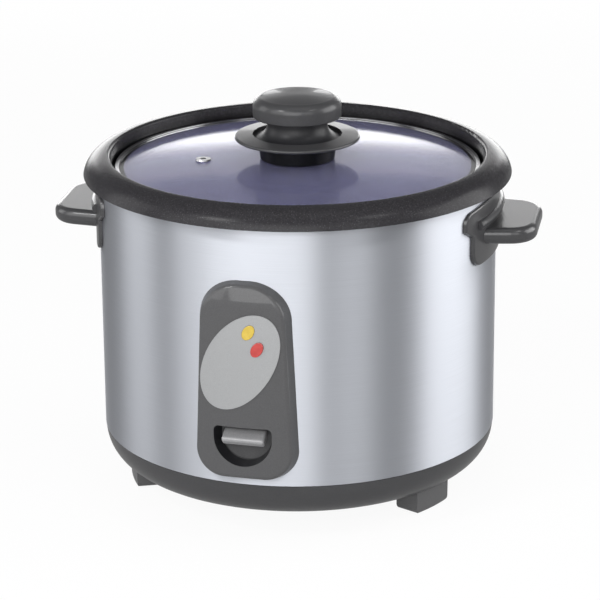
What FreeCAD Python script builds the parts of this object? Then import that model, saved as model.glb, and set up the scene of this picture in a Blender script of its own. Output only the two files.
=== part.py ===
import FreeCAD, Part
import math
import os
from types import SimpleNamespace

import Sketcher
from FreeCAD import Placement, Rotation, Vector

# Rice cooker with a steel shell, a lift-out pot, a glass lid and a lever-worked heater switch.
# Millimetres, +Z up. The origin is the centre of the feet on the table and the control panel faces -Y.
# Angles around the body are measured from the panel, positive towards +X.

SIZES = {
    # Clearances
    "seat_gap": 0.1,
    "body_gap": 0.3,
    "pin_gap": 0.05,
    "hole_gap": 0.4,
    # Steel shell and heat liner
    "shell_radius": 127.6,
    "shell_wall": 0.8,
    "seam_gap": 0.5,
    "body_height": 173.2,
    "liner_inset": 8.8,
    "liner_wall": 0.8,
    "liner_raise": 29.9,
    "liner_round": 16.0,
    "liner_neck_drop": 18.0,
    "liner_throat_drop": 8.0,
    "liner_throat_step": 4.8,
    "liner_hem_depth": 4.0,
    "liner_hole_radius": 24.0,
    # Moulded base and its three feet
    "base_underside": 16.5,
    "base_height": 22.8,
    "base_step": 0.4,
    "base_floor_inset": 15.0,
    "base_side_round": 24.0,
    "base_wall": 2.6,
    "spigot_height": 8.0,
    "foot_spread": 65.0,
    "foot_half_width": 16.0,
    "foot_inset": 0.3,
    "foot_slope": 0.2,
    "foot_depth": 16.5,
    "foot_toe": 3.0,
    "foot_end_round": 4.0,
    "foot_height": 0.8,
    "pad_depth": 1.6,
    "pad_half_width": 3.5,
    "pad_half_angle": 6.0,
    "vent_count": 12,
    "vent_inner_radius": 38.0,
    "vent_length": 26.0,
    "vent_width": 4.0,
    # Posts that hang the base from the liner
    "post_count": 3,
    "post_inset": 26.8,
    "post_angle": 30.0,
    "post_radius": 4.0,
    "screw_radius": 1.7,
    "screw_head_radius": 3.4,
    "screw_head_height": 2.2,
    "screw_bite": 10.0,
    # Cooking pot
    "rim_overhang": 9.5,
    "rim_round": 15.4,
    "rim_raise": 6.4,
    "rim_width": 17.2,
    "rim_inner_drop": 1.6,
    "rim_lip_drop": 12.2,
    "pot_wall": 2.0,
    "pot_raise": 20.0,
    "pot_round": 17.0,
    "pot_taper": 2.0,
    "lid_drop": 14.4,
    "lid_seat_inset": 1.9,
    "lid_seat_width": 4.4,
    # Glass lid
    "lid_play": 1.2,
    "band_height": 6.0,
    "band_sheet": 0.6,
    "band_top_width": 2.4,
    "band_foot_width": 3.0,
    "glass_thickness": 4.0,
    "glass_rise": 4.4,
    "vent_hole_circle": 60.3,
    "vent_hole_angle": -73.5,
    "grommet_flange_radius": 5.1,
    "grommet_barrel_radius": 3.3,
    "grommet_bore_radius": 1.9,
    "grommet_flange_height": 0.9,
    # Lid knob
    "gasket_radius": 25.6,
    "gasket_foot_radius": 23.8,
    "gasket_height": 12.6,
    "gasket_round": 0.6,
    "skirt_radius": 40.1,
    "skirt_edge": 2.2,
    "skirt_rise": 0.9,
    "dish_radius": 28.5,
    "dish_depth": 2.0,
    "neck_radius": 19.2,
    "neck_height": 14.3,
    "cap_radius": 28.3,
    "cap_side": 7.0,
    "cap_round": 6.0,
    "cap_dome": 1.7,
    "cap_wall": 2.6,
    "cap_chamfer": 0.6,
    "knob_screw_radius": 2.5,
    "knob_screw_bite": 14.0,
    "knob_washer_radius": 11.0,
    "knob_washer_height": 1.4,
    # Heating plate
    "plate_inset": 8.7,
    "plate_thickness": 12.7,
    "plate_hole_radius": 20.5,
    "plate_edge_round": 3.0,
    "element_circle": 62.0,
    "element_half_width": 7.5,
    "element_depth": 3.0,
    "plate_post_circle": 44.0,
    "plate_post_radius": 5.0,
    "terminal_angle": 140.0,
    "terminal_spacing": 12.0,
    "terminal_radius": 3.0,
    "terminal_drop": 14.0,
    "warm_band_height": 36.0,
    "warm_band_raise": 52.0,
    "warm_band_half_angle": 55.0,
    "warm_band_thickness": 1.8,
    "fuse_radius": 2.2,
    "fuse_length": 16.0,
    "fuse_offset_x": 48.0,
    "fuse_offset_y": 30.0,
    "fuse_clip_width": 6.0,
    "fuse_clip_wall": 1.4,
    # Control panel
    "bezel_half_width": 32.7,
    "bezel_lift": 3.7,
    "bezel_height": 130.2,
    "bezel_top_round": 26.0,
    "bezel_bottom_round": 20.0,
    "bezel_proud": 8.6,
    "bezel_draft": 2.4,
    "bezel_lean": 3.4,
    "bezel_edge_round": 3.2,
    "bezel_roll_height": 17.0,
    "bezel_roll_depth": 4.8,
    "bezel_wall": 2.6,
    "bezel_front_wall": 3.4,
    "recess_radius": 18.9,
    "recess_rise": 30.2,
    "recess_head": 6.7,
    "recess_corner": 3.5,
    "recess_depth": 12.0,
    "recess_taper": 2.8,
    "recess_sink": 1.8,
    "recess_wall": 1.8,
    "window_margin": 1.2,
    "bezel_screw_rise": 52.2,
    "bezel_screw_drop": 10.0,
    "label_centre_x": -1.2,
    "label_rise": 79.3,
    "label_half_length": 34.2,
    "label_half_width": 21.1,
    "label_tilt": 58.0,
    "label_thickness": 0.6,
    "lamp_half_length": 5.2,
    "lamp_half_width": 3.5,
    "warm_lamp_x": 4.8,
    "warm_lamp_rise": 19.8,
    "cook_lamp_x": 10.2,
    "cook_lamp_rise": 9.2,
    "lamp_proud": 0.5,
    "lamp_length": 10.0,
    "lamp_edge_round": 0.4,
    "carrier_half_width": 17.0,
    "carrier_drop": 0.4,
    "carrier_height": 30.5,
    "carrier_wall": 1.2,
    "carrier_depth": 8.0,
    "neon_radius": 2.3,
    "neon_length": 12.0,
    # Side handles
    "handle_turn": 5.0,
    "saddle_proud": 2.3,
    "saddle_edge_round": 1.4,
    "leg_half_width": 49.5,
    "leg_height": 20.7,
    "leg_round": 10.0,
    "wing_half_width": 58.0,
    "wing_drop": 14.4,
    "wing_height": 11.6,
    "wing_slope": 5.4,
    "wing_round": 7.0,
    "crown_rise": 3.0,
    "shelf_drop": 29.8,
    "shelf_thickness": 10.5,
    "shelf_length": 28.6,
    "shelf_root_half_width": 37.0,
    "shelf_tip_half_width": 32.0,
    "shelf_corner": 18.0,
    "shelf_edge_round": 4.2,
    "rib_height": 6.4,
    "rib_proud": 5.2,
    "rib_half_angle": 20.0,
    "handle_screw_angle": 8.0,
    "handle_screw_bite": 12.0,
    # Cook lever
    "lever_half_width": 13.5,
    "lever_drop": 6.3,
    "lever_height": 9.4,
    "lever_stand": 1.4,
    "lever_gap": 2.0,
    "lever_shelf": 2.4,
    "lever_nose_rise": 5.0,
    "lever_heel_rise": 4.0,
    "lever_chin_inset": 4.4,
    "lever_brow_round": 4.0,
    "lever_nose_round": 2.0,
    "lever_end_round": 1.6,
    "tang_rise": 4.7,
    "tang_length": 4.8,
    "arm_thickness": 2.4,
    "arm_half_width": 4.5,
    "arm_bend_inset": 5.2,
    "arm_elbow_inset": 17.0,
    "arm_elbow_drop": 10.5,
    "arm_end": 9.0,
    "arm_flat": 14.0,
    "arm_sink": 5.4,
    "arm_hole_radius": 3.6,
    "pivot_y": 62.0,
    "pivot_drop": 16.0,
    "pivot_radius": 2.0,
    "pivot_boss_radius": 4.4,
    "pivot_boss_half_width": 6.5,
    "lever_swing": 4.4,
    "cheek_gap": 0.9,
    "bracket_sheet": 1.6,
    "bracket_length": 24.0,
    "bracket_skirt": 4.5,
    "switch_centre_y": 40.0,
    "switch_length": 18.0,
    "switch_half_width": 3.2,
    "switch_height": 10.0,
    "plunger_radius": 1.2,
    "plunger_gap": 1.0,
    "plunger_travel": 1.2,
    "plunger_length": 8.0,
    # Thermostat in the middle of the plate
    "sensor_radius": 19.5,
    "sensor_cap_height": 2.0,
    "sleeve_radius": 17.0,
    "sleeve_wall": 0.8,
    "sleeve_length": 25.6,
    "ferrite_radius": 12.6,
    "ferrite_height": 5.6,
    "magnet_radius": 13.0,
    "magnet_height": 6.0,
    "magnet_gap": 5.1,
    "holder_radius": 15.6,
    "holder_height": 1.3,
    "rod_radius": 2.5,
    "rod_tip": 0.7,
    "rod_shoulder_radius": 6.0,
    "rod_shoulder_gap": 2.6,
    "rod_shoulder_height": 0.8,
    "rod_clip_radius": 5.0,
    "rod_clip_gap": 0.8,
    "rod_clip_height": 1.3,
    "seat_plate_radius": 29.0,
    "outer_spring_radius": 18.6,
    "outer_spring_wire": 0.7,
    "outer_spring_turns": 4,
    "inner_spring_radius": 14.6,
    "inner_spring_wire": 0.5,
    "inner_spring_turns": 5,
    # Power inlet
    "inlet_half_width": 12.0,
    "inlet_rise": 18.9,
    "inlet_half_height": 9.0,
    "inlet_flange": 3.0,
    "inlet_proud": 3.0,
    "inlet_depth": 15.0,
    "inlet_wall": 2.0,
    "inlet_corner": 4.0,
    "pin_half_width": 1.0,
    "pin_half_height": 2.4,
    "pin_spacing": 6.6,
    "pin_raise": 2.6,
    "pin_reach": 9.0,
    "pin_tail": 6.0,
}

doc = FreeCAD.newDocument("rice_cooker")
sheet = doc.addObject("Spreadsheet::Sheet", "Sizes")
for row, (alias, number) in enumerate(SIZES.items(), start=1):
    sheet.set(f"A{row}", alias)
    sheet.set(f"B{row}", str(number))
    sheet.setAlias(f"B{row}", alias)
doc.recompute()


class Dim:
    """A length that carries its spreadsheet expression and its present value."""

    def __init__(self, text, value):
        self.text = text
        self.value = float(value)

    def join(self, sign, other, value):
        return Dim(f"({self.text} {sign} {other.text})", value)

    def __add__(self, other):
        other = as_dim(other)
        return self.join("+", other, self.value + other.value)

    def __sub__(self, other):
        other = as_dim(other)
        return self.join("-", other, self.value - other.value)

    def __mul__(self, other):
        other = as_dim(other)
        return self.join("*", other, self.value * other.value)

    def __truediv__(self, other):
        other = as_dim(other)
        return self.join("/", other, self.value / other.value)

    def __neg__(self):
        return Dim(f"(0 - {self.text})", -self.value)

    def root(self):
        return Dim(f"sqrt({self.text})", math.sqrt(self.value))


def as_dim(number):
    """Wrap a plain number as a size."""
    if isinstance(number, Dim):
        return number
    return Dim(str(number), number)


d = SimpleNamespace(**{alias: Dim(f"Sizes.{alias}", sheet.get(alias)) for alias in SIZES})
nodes = []


def node(label, made):
    """Give a finished sub-part the label that names its file."""
    made.Label = label
    nodes.append(made)
    return made


def bind(made, name, size):
    """Tie a property of a feature to the spreadsheet."""
    made.setExpression(name, as_dim(size).text)


def new_body(name):
    """Start a body that may hold several separate solids."""
    body = doc.addObject("PartDesign::Body", name)
    body.AllowCompound = True
    return body


def sketch(body, role="XZ_Plane", lift=0, shift=(0, 0), turn=None):
    """Start a sketch on one of the body's origin planes, lifted along its normal and shifted within it."""
    made = body.newObject("Sketcher::SketchObject", f"{body.Name}_sketch")
    support = [part for part in body.Origin.OriginFeatures if part.Role == role][0]
    made.AttachmentSupport = (support, [""])
    made.MapMode = "FlatFace"
    rotation = Rotation() if turn is None else Rotation(Vector(0, 1, 0), turn)
    moves = [as_dim(shift[0]), as_dim(shift[1]), as_dim(lift)]
    made.AttachmentOffset = Placement(Vector(*[move.value for move in moves]), rotation)
    for axis, move in zip("xyz", moves):
        bind(made, f"AttachmentOffset.Base.{axis}", move)
    return made


def tie(made, kind, shape, end, size):
    """Hold a point of a sketch at a distance from the sketch's origin."""
    if size.value >= 0:
        index = made.addConstraint(Sketcher.Constraint(kind, -1, 1, shape, end, size.value))
        made.setExpression(f"Constraints[{index}]", size.text)
    else:
        index = made.addConstraint(Sketcher.Constraint(kind, shape, end, -1, 1, -size.value))
        made.setExpression(f"Constraints[{index}]", f"0 - {size.text}")


def pin_point(made, shape, end, x, y):
    """Hold both coordinates of a point of a sketch."""
    for kind, axis, size in (("DistanceX", -2, x), ("DistanceY", -1, y)):
        if size.text == "0":
            made.addConstraint(Sketcher.Constraint("PointOnObject", shape, end, axis))
        else:
            tie(made, kind, shape, end, size)


def arc_between(start, end, radius, side):
    """Arc from start to end with its centre to the left (side 1) or to the right (side -1) of the way."""
    chord = end - start
    half = chord.Length / 2
    normal = Vector(-chord.y, chord.x, 0).normalize()
    centre = (start + end) * 0.5 + normal * (side * math.sqrt(max(radius * radius - half * half, 0)))
    first, last = (start, end) if side > 0 else (end, start)
    angles = [math.atan2(point.y - centre.y, point.x - centre.x) for point in (first, last)]
    return Part.ArcOfCircle(Part.Circle(centre, Vector(0, 0, 1), radius), angles[0], angles[1])


def outline(made, corners):
    """Draw a closed outline. A corner (x, y) starts a straight side, (x, y, radius, side) starts an arc."""
    points = [(as_dim(corner[0]), as_dim(corner[1])) for corner in corners]
    spots = [Vector(x.value, y.value, 0) for x, y in points]
    ends = []
    for index, corner in enumerate(corners):
        start = spots[index]
        end = spots[(index + 1) % len(spots)]
        if len(corner) == 2:
            made.addGeometry(Part.LineSegment(start, end))
            ends.append((1, 2))
        else:
            radius = as_dim(corner[2])
            made.addGeometry(arc_between(start, end, radius.value, corner[3]))
            ends.append((1, 2) if corner[3] > 0 else (2, 1))
    for index in range(len(corners)):
        follower = (index + 1) % len(corners)
        joined = (index, ends[index][1], follower, ends[follower][0])
        made.addConstraint(Sketcher.Constraint("Coincident", *joined))
    for index, corner in enumerate(corners):
        pin_point(made, index, ends[index][0], *points[index])
        if len(corner) == 4:
            radius = as_dim(corner[2])
            tied = made.addConstraint(Sketcher.Constraint("Radius", index, radius.value))
            made.setExpression(f"Constraints[{tied}]", radius.text)
    return made


def rectangle(made, left, bottom, right, top):
    """Draw a rectangle from its four sides."""
    return outline(made, [(left, bottom), (right, bottom), (right, top), (left, top)])


def circle(made, x, y, radius):
    """Draw a circle."""
    x, y, radius = as_dim(x), as_dim(y), as_dim(radius)
    index = made.addGeometry(Part.Circle(Vector(x.value, y.value, 0), Vector(0, 0, 1), radius.value))
    pin_point(made, index, 3, x, y)
    tied = made.addConstraint(Sketcher.Constraint("Radius", index, radius.value))
    made.setExpression(f"Constraints[{tied}]", radius.text)
    return made


def feature(body, kind, profile, **settings):
    """Add a feature to a body and make it the body's tip."""
    made = body.newObject(f"PartDesign::{kind}", f"{body.Name}_{kind}")
    made.Profile = profile
    for name, value in settings.items():
        if isinstance(value, Dim):
            bind(made, name, value)
        else:
            setattr(made, name, value)
    body.Tip = made
    return made


def cut_feature(body, kind, profile, **settings):
    """Add a cutting feature and make sure that it takes material away."""
    doc.recompute()
    before = body.Shape.Volume
    made = feature(body, kind, profile, **settings)
    doc.recompute()
    if not body.Shape.Volume < before - 1e-3:
        raise RuntimeError(f"{made.Name} cuts nothing")
    return made


def pad(body, profile, length, **settings):
    """Raise a profile along its sketch's normal."""
    return feature(body, "Pad", profile, Length=as_dim(length), **settings)


def pocket(body, profile, length, **settings):
    """Sink a profile against its sketch's normal."""
    return cut_feature(body, "Pocket", profile, Length=as_dim(length), **settings)


def turned(body, corners, shift=(0, 0), angle=None, facing=None):
    """Revolve a profile about a vertical axis, all round or over an angle centred on a facing."""
    turn = None if facing is None else facing - 90
    role = "XZ_Plane"
    lift = -as_dim(shift[1])
    made = outline(sketch(body, role, lift, (shift[0], 0), turn), corners)
    if angle is None:
        return feature(body, "Revolution", made, ReferenceAxis=(made, ["V_Axis"]))
    return feature(body, "Revolution", made, ReferenceAxis=(made, ["V_Axis"]), Angle=angle, Midplane=True)


def bored(body, corners):
    """Groove a profile out of a body about the vertical axis."""
    made = outline(sketch(body), corners)
    return cut_feature(body, "Groove", made, ReferenceAxis=(made, ["V_Axis"]))


def around(body, original, count):
    """Repeat a feature evenly around the vertical axis."""
    doc.recompute()
    made = body.newObject("PartDesign::PolarPattern", f"{body.Name}_ring")
    axis = [part for part in body.Origin.OriginFeatures if part.Role == "Z_Axis"][0]
    made.Originals = [original]
    made.Axis = (axis, [""])
    made.Angle = 360
    bind(made, "Occurrences", count)
    body.Tip = made
    return made


def rounded(body, radius, chosen):
    """Round the edges of a body that a test picks."""
    doc.recompute()
    base = body.Tip
    names = [f"Edge{index}" for index, edge in enumerate(base.Shape.Edges, start=1) if chosen(edge)]
    made = body.newObject("PartDesign::Fillet", f"{body.Name}_round")
    made.Base = (base, names)
    bind(made, "Radius", radius)
    body.Tip = made
    return made


def boolean(kind, name, base, tool):
    """Join or cut two objects."""
    made = doc.addObject(f"Part::{kind}", name)
    made.Base = base
    made.Tool = tool
    return made


def rod(name, radius, height, place):
    """A cylinder whose axis starts at a placement and runs along that placement's own Z."""
    made = doc.addObject("Part::Cylinder", name)
    bind(made, "Radius", radius)
    bind(made, "Height", height)
    made.Placement = place
    return made


def together(name, parts):
    """Fuse several objects into one."""
    made = doc.addObject("Part::MultiFuse", name)
    made.Shapes = parts
    return made


def copies(label, master, places):
    """Group separate copies of one solid, each at its own placement."""
    doc.recompute()
    solids = []
    for place in places:
        solid = master.Shape.copy()
        solid.Placement = place.multiply(solid.Placement)
        solids.append(solid)
    made = doc.addObject("Part::Feature", label)
    made.Shape = Part.makeCompound(solids)
    return node(label, made)


def polar_point(radius, angle, height):
    """Point at a radius and an angle from the panel."""
    turn = math.radians(angle)
    return Vector(radius * math.sin(turn), -radius * math.cos(turn), height)


def outward(angle):
    """Rotation that turns the Z axis to point out of the body at an angle from the panel."""
    return Rotation(Vector(0, 0, 1), angle).multiply(Rotation(Vector(1, 0, 0), 90))


def at_radius(edge, radius):
    """Tell whether an edge lies on a cylinder about the vertical axis."""
    reach = [math.hypot(point.x, point.y) for point in edge.discretize(5)]
    return all(abs(value - radius) < 1e-3 for value in reach)


# Heights, from the table up
base_top = d.base_underside + d.base_height
shell_bottom = base_top + d.seam_gap
liner_bottom = shell_bottom + d.liner_raise
liner_floor = liner_bottom + d.liner_wall
liner_top = shell_bottom + d.body_height
pot_bottom = liner_bottom + d.pot_raise
plate_top = pot_bottom - d.body_gap
plate_bottom = plate_top - d.plate_thickness
rim_height = liner_top + d.rim_raise
lid_seat_height = rim_height - d.lid_drop
lid_bottom = lid_seat_height + d.body_gap
bezel_bottom = shell_bottom + d.bezel_lift
bezel_top = bezel_bottom + d.bezel_height
recess_centre = bezel_bottom + d.recess_rise
recess_top = recess_centre + d.recess_head
bezel_screw_heights = (bezel_bottom + d.bezel_screw_rise, bezel_top - d.bezel_screw_drop)
label_centre_z = bezel_bottom + d.label_rise
carrier_bottom = label_centre_z - d.carrier_drop
carrier_top = carrier_bottom + d.carrier_height
shelf_top = liner_top - d.shelf_drop
inlet_centre_z = shell_bottom + d.inlet_rise

# Radii, from the shell in and out
shell_inner = d.shell_radius - d.shell_wall
back_radius = d.shell_radius + d.seat_gap
face_radius = d.shell_radius + d.bezel_proud
liner_radius = d.shell_radius - d.liner_inset
liner_throat_radius = liner_radius + d.liner_throat_step
post_circle = liner_radius - d.post_inset
base_radius = d.shell_radius - d.base_step
base_floor_radius = base_radius - d.base_floor_inset
rim_radius = d.shell_radius + d.rim_overhang
rim_inner_radius = rim_radius - d.rim_width
lid_seat_radius = rim_inner_radius - d.lid_seat_inset
pot_mouth_radius = lid_seat_radius - d.lid_seat_width
pot_foot_radius = pot_mouth_radius - d.pot_taper
band_radius = lid_seat_radius - d.lid_play
glass_radius = band_radius - d.band_sheet - d.hole_gap
screw_hole = d.screw_radius + d.hole_gap

# Cooking pot: spun aluminium with a broad rolled rim and a ledge for the lid
rim_reach = d.rim_round - d.rim_lip_drop
crest_radius = rim_radius - (d.rim_round * d.rim_round - rim_reach * rim_reach).root()
lip_height = rim_height - d.rim_lip_drop
inner_edge = rim_height - d.rim_inner_drop
inner_run = crest_radius - rim_inner_radius
inner_arc = (inner_run * inner_run + d.rim_inner_drop * d.rim_inner_drop) / (d.rim_inner_drop * 2)
pot_floor = pot_bottom + d.pot_wall
pot_bend = pot_foot_radius - d.pot_round
bend_top = pot_floor + d.pot_round
ledge_under = lid_seat_height - d.pot_wall
under_round = d.rim_round - d.pot_wall
lip_inner = crest_radius + (under_round * under_round - rim_reach * rim_reach).root()
pot = new_body("inner_pot_body")
turned(pot, [
    (0, pot_floor),
    (pot_bend, pot_floor, d.pot_round, 1),
    (pot_foot_radius, bend_top),
    (pot_mouth_radius, lid_seat_height),
    (lid_seat_radius, lid_seat_height),
    (rim_inner_radius, inner_edge, inner_arc, -1),
    (crest_radius, rim_height, d.rim_round, -1),
    (rim_radius, lip_height),
    (lip_inner, lip_height, under_round, 1),
    (crest_radius, rim_height - d.pot_wall),
    (rim_inner_radius + d.pot_wall, inner_edge - d.pot_wall / 2),
    (lid_seat_radius + d.pot_wall, ledge_under),
    (pot_mouth_radius + d.pot_wall, ledge_under),
    (pot_foot_radius + d.pot_wall, bend_top, d.pot_round + d.pot_wall, -1),
    (pot_bend, pot_bottom),
    (0, pot_bottom),
])
node("inner_pot", pot)

# Glass lid: a shallow tempered dome with a centre hole and a steam hole
glass_edge = lid_bottom + d.band_sheet + d.hole_gap
glass_sphere = (glass_radius * glass_radius + d.glass_rise * d.glass_rise) / (d.glass_rise * 2)
glass_top = glass_edge + d.glass_thickness + d.glass_rise
knob_hole = d.knob_screw_radius + d.hole_gap
glass = new_body("lid_glass_body")
turned(glass, [
    (0, glass_edge + d.glass_rise, glass_sphere, -1),
    (glass_radius, glass_edge),
    (glass_radius, glass_edge + d.glass_thickness, glass_sphere, 1),
    (0, glass_top),
])
holes = sketch(glass, "XY_Plane", glass_top)
circle(holes, 0, 0, knob_hole)
vent_x = d.vent_hole_circle * math.sin(math.radians(d.vent_hole_angle.value))
vent_y = -d.vent_hole_circle * math.cos(math.radians(d.vent_hole_angle.value))
circle(holes, vent_x, vent_y, d.grommet_barrel_radius + d.hole_gap)
pocket(glass, holes, d.glass_thickness + d.glass_rise)
node("lid_glass", glass)

# Steel band folded round the edge of the glass
band = new_body("lid_band_body")
band_top = lid_bottom + d.band_height
turned(band, [
    (band_radius - d.band_foot_width, lid_bottom),
    (band_radius, lid_bottom),
    (band_radius, band_top),
    (band_radius - d.band_top_width, band_top),
    (band_radius - d.band_top_width, band_top - d.band_sheet),
    (band_radius - d.band_sheet, band_top - d.band_sheet),
    (band_radius - d.band_sheet, lid_bottom + d.band_sheet),
    (band_radius - d.band_foot_width, lid_bottom + d.band_sheet),
])
node("lid_band", band)

# Steam grommet riveted through the glass
vent_share = d.vent_hole_circle / glass_radius
vent_drop = d.glass_rise * vent_share * vent_share
grommet_seat = glass_top - vent_drop + d.body_gap
grommet_foot = glass_top - vent_drop - d.glass_thickness - d.body_gap
grommet = new_body("vent_grommet_body")
turned(grommet, [
    (d.grommet_bore_radius, grommet_foot - d.grommet_flange_height),
    (d.grommet_barrel_radius + d.grommet_flange_height, grommet_foot - d.grommet_flange_height),
    (d.grommet_barrel_radius + d.grommet_flange_height, grommet_foot),
    (d.grommet_barrel_radius, grommet_foot),
    (d.grommet_barrel_radius, grommet_seat),
    (d.grommet_flange_radius, grommet_seat),
    (d.grommet_flange_radius - d.grommet_flange_height / 2, grommet_seat + d.grommet_flange_height),
    (d.grommet_bore_radius, grommet_seat + d.grommet_flange_height),
], (vent_x, vent_y))
node("vent_grommet", grommet)

# Knob: soft ring on the glass, dished skirt with the neck, and a domed cap, held by one screw
gasket_bottom = glass_top + d.seat_gap
gasket_top = gasket_bottom + d.gasket_height
skirt_bottom = gasket_top + d.seat_gap
skirt_top = skirt_bottom + d.skirt_edge
dish_top = skirt_top + d.skirt_rise
neck_top = dish_top + d.neck_height
screw_bore = d.knob_screw_radius + d.seat_gap
gasket = new_body("knob_gasket_body")
turned(gasket, [
    (knob_hole, gasket_bottom),
    (d.gasket_foot_radius, gasket_bottom),
    (d.gasket_radius, gasket_top),
    (knob_hole, gasket_top),
])
gasket_edges = (d.gasket_foot_radius.value, d.gasket_radius.value)
rounded(gasket, d.gasket_round, lambda edge: any(at_radius(edge, radius) for radius in gasket_edges))
node("knob_gasket", gasket)

skirt = new_body("knob_skirt_body")
edge_round = d.skirt_edge / 2
turned(skirt, [
    (d.dish_radius, skirt_bottom),
    (d.skirt_radius - edge_round, skirt_bottom, edge_round, 1),
    (d.skirt_radius, skirt_bottom + edge_round, edge_round, 1),
    (d.skirt_radius - edge_round, skirt_top),
    (d.dish_radius, dish_top),
])
node("knob_skirt", skirt)

neck = new_body("knob_neck_body")
dish_floor = dish_top - d.dish_depth
dish_edge = d.dish_radius - d.seat_gap
dish_run = dish_edge - d.neck_radius
turned(neck, [
    (screw_bore, skirt_bottom),
    (dish_edge, skirt_bottom),
    (dish_edge, dish_floor, dish_run, -1),
    (d.neck_radius, dish_floor + dish_run),
    (d.neck_radius, neck_top),
    (screw_bore, neck_top),
])
node("knob_neck", neck)

cap_bottom = neck_top - d.cap_wall - d.seat_gap * 2
cap_ceiling = neck_top + d.seat_gap
cap_shoulder = cap_bottom + d.cap_side
cap_flat = d.cap_radius - d.cap_round
cap_crown = cap_shoulder + d.cap_round
dome_sphere = (cap_flat * cap_flat + d.cap_dome * d.cap_dome) / (d.cap_dome * 2)
cap = new_body("knob_cap_body")
turned(cap, [
    (0, cap_ceiling),
    (d.neck_radius + d.seat_gap, cap_ceiling),
    (d.neck_radius + d.seat_gap, cap_bottom),
    (d.cap_radius - d.cap_chamfer, cap_bottom),
    (d.cap_radius, cap_bottom + d.cap_chamfer),
    (d.cap_radius, cap_shoulder, d.cap_round, 1),
    (cap_flat, cap_crown, dome_sphere, 1),
    (0, cap_crown + d.cap_dome),
])
node("knob_cap", cap)

washer_top = glass_edge + d.glass_rise - d.body_gap
washer_bottom = washer_top - d.knob_washer_height
washer = new_body("knob_washer_body")
turned(washer, [
    (screw_bore, washer_bottom),
    (d.knob_washer_radius, washer_bottom),
    (d.knob_washer_radius, washer_top),
    (screw_bore, washer_top),
])
node("knob_washer", washer)

knob_screw = new_body("knob_screw_body")
head_top = washer_bottom - d.seat_gap
screw_end = skirt_bottom + d.knob_screw_bite
turned(knob_screw, [
    (0, head_top - d.screw_head_height),
    (d.knob_screw_radius * 2, head_top - d.screw_head_height),
    (d.knob_screw_radius * 2, head_top),
    (d.knob_screw_radius, head_top),
    (d.knob_screw_radius, screw_end),
    (0, screw_end),
])
node("knob_screw", knob_screw)

# Heat liner: drawn cup whose flange is hemmed over the top of the shell
liner_inner = liner_radius - d.liner_wall
flange_under = liner_top - d.liner_wall
throat_inner = liner_throat_radius - d.liner_wall
neck_start = liner_top - d.liner_neck_drop
throat_start = liner_top - d.liner_throat_drop
hem_inner = d.shell_radius + d.hole_gap
hem_outer = hem_inner + d.liner_wall
hem_bottom = liner_top - d.liner_hem_depth
liner_bend = liner_radius - d.liner_round
liner = new_body("heat_liner_body")
turned(liner, [
    (d.liner_hole_radius, liner_bottom),
    (liner_bend, liner_bottom, d.liner_round, 1),
    (liner_radius, liner_bottom + d.liner_round),
    (liner_radius, neck_start),
    (liner_throat_radius, throat_start),
    (liner_throat_radius, flange_under),
    (hem_inner, flange_under),
    (hem_inner, hem_bottom),
    (hem_outer, hem_bottom),
    (hem_outer, liner_top),
    (throat_inner, liner_top),
    (throat_inner, throat_start),
    (liner_inner, neck_start),
    (liner_inner, liner_bottom + d.liner_round, d.liner_round - d.liner_wall, -1),
    (liner_bend, liner_floor),
    (d.liner_hole_radius, liner_floor),
])
terminal_spots = []
for side in (-1, 1):
    spread = math.degrees(d.terminal_spacing.value / 2 / d.element_circle.value) * side
    terminal_spots.append(polar_point(d.element_circle.value, d.terminal_angle.value + spread, 0))
for spot in terminal_spots:
    opening = sketch(liner, "XY_Plane", liner_floor)
    circle(opening, d.element_circle * (spot.x / d.element_circle.value),
           d.element_circle * (spot.y / d.element_circle.value), d.terminal_radius + d.hole_gap * 2)
    pocket(liner, opening, d.liner_wall)
for ring in (post_circle, d.plate_post_circle):
    spot = polar_point(1.0, d.post_angle.value, 0)
    opening = sketch(liner, "XY_Plane", liner_floor)
    circle(opening, ring * spot.x, ring * spot.y, screw_hole)
    around(liner, pocket(liner, opening, d.liner_wall), d.post_count)
node("heat_liner", liner)

# Outer shell: rolled steel tube with openings behind the panel, at the inlet and for the handle screws
shell = new_body("outer_shell_body")
shell_top = flange_under - d.seat_gap
turned(shell, [
    (shell_inner, shell_bottom),
    (d.shell_radius, shell_bottom),
    (d.shell_radius, shell_top),
    (shell_inner, shell_top),
])
lever_window = d.recess_radius + d.recess_wall + d.window_margin
front_cut = sketch(shell)
rectangle(front_cut, -lever_window, recess_centre - lever_window,
          lever_window, recess_top + d.recess_wall + d.window_margin)
pocket(shell, front_cut, face_radius, Reversed=True)
lamp_cut = sketch(shell)
rectangle(lamp_cut, -d.carrier_half_width - d.window_margin, carrier_bottom - d.window_margin,
          d.carrier_half_width + d.window_margin, carrier_top + d.window_margin)
pocket(shell, lamp_cut, face_radius, Reversed=True)
for height in bezel_screw_heights:
    screw_cut = circle(sketch(shell), 0, height, screw_hole)
    pocket(shell, screw_cut, face_radius, Reversed=True)
inlet_cut = sketch(shell)
rectangle(inlet_cut, -d.inlet_half_width - d.hole_gap, inlet_centre_z - d.inlet_half_height - d.hole_gap,
          d.inlet_half_width + d.hole_gap, inlet_centre_z + d.inlet_half_height + d.hole_gap)
pocket(shell, inlet_cut, face_radius)
handle_facings = {"right_handle": 90 + d.handle_turn.value, "left_handle": -90 + d.handle_turn.value}
screw_height = shelf_top - d.shelf_thickness / 2
screw_turns = [facing + side * d.handle_screw_angle.value
               for facing in handle_facings.values() for side in (-1, 1)]
drills = []
for index, turn in enumerate(screw_turns):
    place = Placement(polar_point(liner_inner.value, turn, screw_height.value), outward(turn))
    drills.append(rod(f"shell_drill_{index}", screw_hole, d.shell_radius - liner_inner + d.seat_gap, place))
node("outer_shell", boolean("Cut", "outer_shell", shell, together("shell_drills", drills)))

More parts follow.
